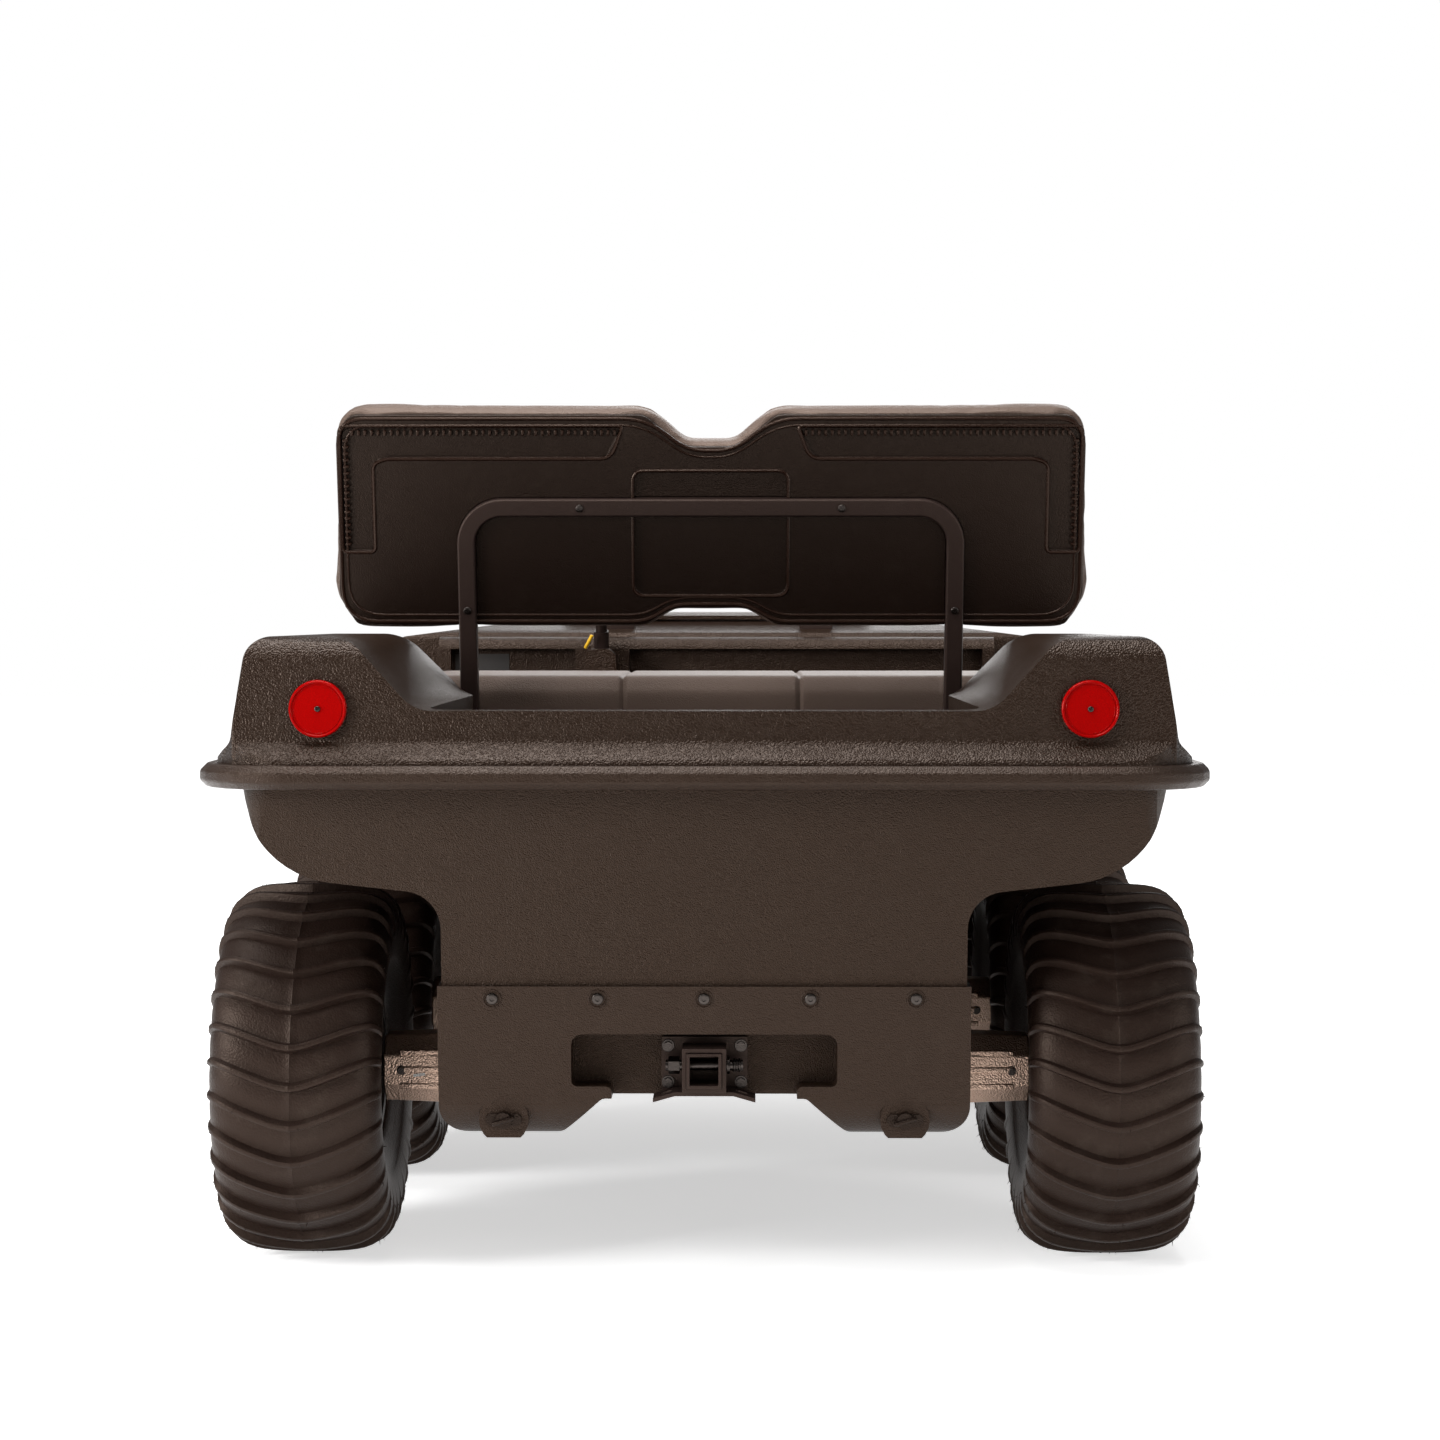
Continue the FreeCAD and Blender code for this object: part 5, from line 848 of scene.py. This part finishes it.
class VEHICLE_OT_backrest(bpy.types.Operator):
    """Beads and grip teeth moulded on the backrest, and its frame's screws"""

    bl_idname = "vehicle.backrest"
    bl_label = "Backrest"

    def execute(self, context):
        beads = []
        for inset, radius in ((0.006, 0.0036), (0.017, 0.0022)):
            path = rounded_path(back_outline(inset))
            beads.append(piped([TO_BACK @ Vector((p.x, 0.0012, p.y)) for p in path], radius))
        pan = rounded_path(
            [(0.131, 0.361, 0.02), (0.131, 0.147, 0.02), (-0.131, 0.147, 0.02), (-0.131, 0.361, 0.02)]
        )
        beads.append(piped([TO_BACK @ Vector((p.x, 0.0012, p.y)) for p in pan], 0.0030))
        # The beads take the lighter shell colour: a painted highlight along the pressed edges.
        hand_over(joined(beads), "shell_beads", "trim_plastic", material="shell_painted_highlight")

        channels = []
        for sign in (-1, 1):
            corners = [
                (0.622, 0.437, 0.014), (0.622, 0.222, 0.010), (0.566, 0.222, 0.010),
                (0.566, 0.372, 0.02), (0.545, 0.381, 0.02), (0.166, 0.381, 0.02),
                (0.146, 0.437, 0.010),
            ]
            path = rounded_path([(sign * x, z, r) for x, z, r in corners])
            channels.append(
                piped([TO_BACK @ Vector((p.x, 0.0012, p.y)) for p in path], 0.0034)
            )
        # The channels take the lighter shell colour: a painted highlight along the pressed edges.
        hand_over(joined(channels), "shell_channels", "trim_plastic", material="shell_painted_highlight")

        tooth = bar((0.0050, 0.0080, 0.0100), round_by=0.3, segments=2)
        places = []
        for sign in (-1, 1):
            for i in range(41):
                spot = Vector((sign * (0.160 + 0.011 * i), 0.0030, 0.4250))
                places.append(TO_BACK @ Matrix.Translation(spot))
            for i in range(17):
                spot = Vector((sign * 0.6115, 0.0030, 0.236 + 0.011 * i))
                places.append(
                    TO_BACK @ Matrix.Translation(spot) @ Matrix.Rotation(math.pi / 2, 4, "Y")
                )
        # The teeth take the lighter shell colour: a painted highlight on their edges.
        hand_over(joined(copies(tooth, places)), "shell_teeth", "trim_plastic",
                  material="shell_painted_highlight")

        screw = screw_head(0.0065, 0.0035)
        rear = (TO_BACK.to_3x3() @ Vector((0, 1, 0)))
        spots = [
            TO_BACK @ Vector((x, -0.1, z))
            for x, z in ((-0.220, 0.300), (0.220, 0.300), (-0.412, 0.125), (0.412, 0.125))
        ]
        screws = fitted(screw, "seat_back_frame", spots, rear, -0.0002)
        hand_over(screws, "back_screws", "bright_steel", material="dark_screw")
        return {"FINISHED"}


class VEHICLE_OT_rear(bpy.types.Operator):
    """Screws, hitch bolts, reflectors, plug handles and housing bolts"""

    bl_idname = "vehicle.rear"
    bl_label = "Rear fittings"

    def execute(self, context):
        screws = fitted(
            screw_head(0.0085, 0.0045), "skid_plate",
            [(x, -1.4, 0.420) for x in (-0.305, -0.153, 0.0, 0.153, 0.305)], (0, 1, 0), -0.0003,
        )
        hand_over(screws, "skid_screws", "bright_steel", material="dark_screw")
        dimples = fitted(
            ring(0.0125, 0.0012), "skid_plate",
            [(x, -1.4, 0.420) for x in (-0.305, -0.153, 0.0, 0.153, 0.305)], (0, 1, 0), 0.0002,
        )
        hand_over(dimples, "skid_dimples", "trim_plastic", material="trim_plastic")

        plate_bolts = fitted(
            hex_bolt(0.0065, 0.007), "hitch_receiver",
            [(x, -1.3, z) for x in (-0.053, 0.053) for z in (0.345, 0.292)], (0, 1, 0), -0.0002,
        )
        hand_over(plate_bolts, "hitch_bolts", "bright_steel", material="dark_screw")
        coils = []
        for sign in (-1, 1):
            for i in range(3):
                coil = ring(0.0085, 0.0016, count=24)
                coil.data.transform(
                    Matrix.Translation((sign * (0.043 + 0.004 * i), -1.080, 0.320))
                    @ Matrix.Rotation(math.pi / 2, 4, "Y")
                )
                coils.append(coil)
        hand_over(joined(coils), "pin_springs", "bright_steel", material="dark_screw")

        grip = bar((0.034, 0.006, 0.005), (0, 0, 0.0024), 0.45)
        grips = fitted(grip, "drain_plugs", [(x, -1.4, 0.242) for x in (-0.290, 0.290)],
                       (0, 1, 0), -0.0004, Matrix.Rotation(0.3, 4, "Z"))
        hand_over(grips, "plug_grips", "trim_plastic", material="shell_plastic")
        rivets = []
        lenses = []
        for x in (-0.548, 0.548):
            spot, normal = seat_on("rear_reflectors", (x, -1.5, 0.838), (0, 1, 0))
            place = facing(spot, normal)
            for major, minor in ((0.0388, 0.0020), (0.0345, 0.0005)):
                line = ring(major, minor)
                line.data.transform(place @ Matrix.Translation((0, 0, 0.0002)))
                lenses.append(line)
            rivet = screw_head(0.0042, 0.0028, 0.35)
            rivet.data.transform(place)
            rivets.append(rivet)
        hand_over(joined(lenses), "reflector_rings", "red_lens")
        hand_over(joined(rivets), "reflector_rivets", "bright_steel", material="dark_screw")

        bolts = []
        for axle, along in AXLES.items():
            for sign in (-1, 1):
                for x, z in ((0.392, 0.262), (0.392, 0.302), (0.462, 0.282)):
                    try:
                        spot, normal = seat_on(
                            "axle_housing_" + axle, (sign * x, along - 0.25, z), (0, 1, 0)
                        )
                    except RuntimeError:
                        continue
                    bolt = hex_bolt(0.005, 0.005)
                    bolt.data.transform(facing(spot - normal * 0.0003, normal))
                    bolts.append(bolt)
        hand_over(joined(bolts), "housing_bolts", "bright_steel", material="dark_screw")
        ribs = []
        for axle, along in AXLES.items():
            for sign in (-1, 1):
                for z in (0.258, 0.283, 0.308):
                    try:
                        spot, normal = seat_on(
                            "axle_housing_" + axle, (sign * 0.428, along - 0.25, z), (0, 1, 0)
                        )
                    except RuntimeError:
                        continue
                    rib = bar((0.074, 0.009, 0.005), (0, 0, 0), 0.35)
                    rib.data.transform(
                        Matrix.Translation(spot) @ Matrix.Rotation(math.pi / 2, 4, "X")
                    )
                    ribs.append(rib)
        hand_over(joined(ribs), "housing_ribs", "cast_aluminium")
        spot, normal = seat_on("axle_housing_rear", (-0.435, -1.2, 0.275), (0, 1, 0))
        mark = bar((0.018, 0.0042, 0.0008), (0, 0, 0.0002), 0.45)
        mark.data.transform(facing(spot, normal) @ Matrix.Rotation(0.15, 4, "Z"))
        hand_over(mark, "paint_stroke", "bright_steel", material="paint_mark")
        return {"FINISHED"}


class VEHICLE_OT_front(bpy.types.Operator):
    """Bare plate, cable sleeve, lamp bezels and hood pull"""

    bl_idname = "vehicle.front"
    bl_label = "Front fittings"

    def execute(self, context):
        spot, normal = seat_on("dash_panel", (-0.470, 0.30, 0.866), (0, 1, 0))
        plate = bar((0.108, 0.056, 0.0016), (0, 0, 0.0006), 0.3, 2)
        plate.data.transform(facing(spot, normal) @ Matrix.Rotation(math.pi / 2, 4, "Z"))
        low = min(v.co.z for v in plate.data.vertices)
        high = max(v.co.z for v in plate.data.vertices)
        if high - low > 0.08:
            plate.data.transform(turned(spot, Vector(normal), math.pi / 2))
        hand_over(plate, "bare_plate", "trim_plastic", material="plate_bare")

        bezels = []
        glasses = []
        for x in (-0.330, 0.330):
            spot, normal = seat_on("headlamps", (x, 1.108, 1.3), (0, 0, -1))
            place = facing(spot, normal)
            bezel = ring(0.0490, 0.0045)
            bezel.data.transform(place)
            bezels.append(bezel)
            for major in (0.036, 0.024, 0.012):
                line = ring(major, 0.0012)
                line.data.transform(place)
                glasses.append(line)
        hand_over(joined(bezels), "lamp_bezels", "frame_metal")
        hand_over(joined(glasses), "lamp_rings", "clear_lens")

        spot, normal = seat_on("hood_lid", (0, 1.010, 1.4), (0, 0, -1))
        post = primitive("cylinder", vertices=16, radius=0.006, depth=0.022, location=(-0.05, 0, 0.010))
        apply_place(post)
        other = post.copy()
        other.data = post.data.copy()
        other.data.transform(Matrix.Translation((0.10, 0, 0)))
        context.scene.collection.objects.link(other)
        pull = joined([bar((0.130, 0.020, 0.010), (0, 0, 0.025), 0.45), post, other])
        pull.data.transform(facing(spot, normal) @ Matrix.Rotation(math.pi / 2, 4, "Z"))
        wide = max(v.co.x for v in pull.data.vertices) - min(v.co.x for v in pull.data.vertices)
        if wide < 0.08:
            pull.data.transform(turned(spot, Vector(normal), math.pi / 2))
        hand_over(pull, "hood_pull", "grip_rubber", body="hood")

        sleeve = primitive("cylinder", vertices=16, radius=0.0035, depth=0.030,
                           location=(-0.252, 0.500, 0.919), rotation=(0.2, 0.5, 0))
        pick(sleeve, lambda middle, normal: abs(normal.z) > 0.9)
        bpy.ops.mesh.bevel(offset=0.001, segments=2, affect="EDGES")
        object_mode()
        hand_over(sleeve, "cable_sleeve", "trim_plastic", material="cable_yellow")
        return {"FINISHED"}


# Operators for the stage and the plain finishes


class VEHICLE_OT_stage(bpy.types.Operator):
    """Plain pale floor, white backdrop, soft lights and the camera"""

    bl_idname = "vehicle.stage"
    bl_label = "Stage"

    def execute(self, context):
        scene = context.scene
        settings = scene.vehicle_stage
        data = bpy.data.cameras.new("camera")
        data.lens = settings.lens
        data.clip_end = 200
        camera = bpy.data.objects.new("camera", data)
        camera.location = settings.camera_place
        camera.rotation_euler = (
            math.pi / 2 - settings.camera_pitch, 0, settings.camera_yaw
        )
        scene.collection.objects.link(camera)
        scene.camera = camera

        floor = primitive("plane", size=60, location=(0, 0, 0))
        floor.name = "floor"
        material, tree, shader, place = principled("floor", (0.92, 0.92, 0.92), 0.9)
        shader.inputs["Specular IOR Level"].default_value = 0.0
        path = tree.nodes.new("ShaderNodeLightPath")
        seen = path.outputs["Is Camera Ray"]
        for ray in ("Is Glossy Ray", "Is Transmission Ray"):
            seen = math_node(tree, "ADD", seen, path.outputs[ray], clamp=True)
        reach = node(tree, "ShaderNodeVectorMath", operation="LENGTH")
        tree.links.new(place, reach.inputs[0])
        far = node(tree, "ShaderNodeMapRange")
        far.inputs["From Min"].default_value = 1.2
        far.inputs["From Max"].default_value = 3.2
        far.inputs["To Min"].default_value = 0.58
        far.inputs["To Max"].default_value = 1.0
        tree.links.new(reach.outputs["Value"], far.inputs["Value"])
        shader.inputs["Emission Color"].default_value = (1, 1, 1, 1)
        tree.links.new(
            math_node(tree, "MULTIPLY", seen, far.outputs["Result"]),
            shader.inputs["Emission Strength"],
        )
        floor.data.materials.append(material)

        world = bpy.data.worlds.new("world")
        scene.world = world
        world.use_nodes = True
        tree = world.node_tree
        tree.nodes.clear()
        out = tree.nodes.new("ShaderNodeOutputWorld")
        soft = node(tree, "ShaderNodeBackground", Strength=0.26)
        white = node(tree, "ShaderNodeBackground", Strength=1.0)
        soft.inputs["Color"].default_value = (1, 1, 1, 1)
        white.inputs["Color"].default_value = (1, 1, 1, 1)
        path = tree.nodes.new("ShaderNodeLightPath")
        mix = tree.nodes.new("ShaderNodeMixShader")
        tree.links.new(path.outputs["Is Camera Ray"], mix.inputs["Fac"])
        tree.links.new(soft.outputs[0], mix.inputs[1])
        tree.links.new(white.outputs[0], mix.inputs[2])
        tree.links.new(mix.outputs[0], out.inputs["Surface"])

        for name, spot, size, power in (
            ("top_light", (-0.6, -0.8, 4.0), 3.0, 265),
            ("rear_left_light", (-4.0, -3.0, 1.9), 1.5, 190),
            ("rear_right_light", (4.0, -3.2, 1.9), 1.6, 50),
            ("front_light", (0.5, 4.6, 3.0), 3.0, 90),
        ):
            lamp = bpy.data.lights.new(name, "AREA")
            lamp.shape = "SQUARE"
            lamp.size = size
            lamp.energy = power * settings.light
            light = bpy.data.objects.new(name, lamp)
            light.location = spot
            aim = Vector((0, 0, 0.6)) - Vector(spot)
            light.rotation_euler = aim.to_track_quat("-Z", "Y").to_euler()
            scene.collection.objects.link(light)
        scene.view_settings.view_transform = "Standard"
        return {"FINISHED"}


class VEHICLE_OT_finishes(bpy.types.Operator):
    """Materials for the solids that keep their shape"""

    bl_idname = "vehicle.finishes"
    bl_label = "Finishes"

    def execute(self, context):
        build_materials(context.scene.vehicle_finish)
        for name in nodes:
            dress_node(name)
        return {"FINISHED"}


class VEHICLE_PT_panel(bpy.types.Panel):
    """Lists the steps that dress the vehicle"""

    bl_idname = "VEHICLE_PT_panel"
    bl_label = "Amphibious vehicle"
    bl_space_type = "VIEW_3D"
    bl_region_type = "UI"
    bl_category = "Vehicle"

    def draw(self, context):
        for step in STEPS:
            self.layout.operator(step.bl_idname)


SETTINGS = [
    ("vehicle_stage", StageSettings), ("vehicle_finish", FinishSettings),
    ("vehicle_tyre", TyreSettings), ("vehicle_padding", PaddingSettings),
]
STEPS = [
    VEHICLE_OT_stage, VEHICLE_OT_finishes, VEHICLE_OT_wheels, VEHICLE_OT_padding,
    VEHICLE_OT_backrest, VEHICLE_OT_rear, VEHICLE_OT_front,
]


def register():
    for _, settings in SETTINGS:
        bpy.utils.register_class(settings)
    for step in STEPS:
        bpy.utils.register_class(step)
    bpy.utils.register_class(VEHICLE_PT_panel)
    for name, settings in SETTINGS:
        setattr(bpy.types.Scene, name, PointerProperty(type=settings))


def unregister():
    for name, _ in SETTINGS:
        delattr(bpy.types.Scene, name)
    bpy.utils.unregister_class(VEHICLE_PT_panel)
    for step in reversed(STEPS):
        bpy.utils.unregister_class(step)
    for _, settings in reversed(SETTINGS):
        bpy.utils.unregister_class(settings)


def main():
    register()
    deselect()
    for step in STEPS:
        family, name = step.bl_idname.split(".")
        getattr(getattr(bpy.ops, family), name)()


if __name__ == "__main__":
    main()
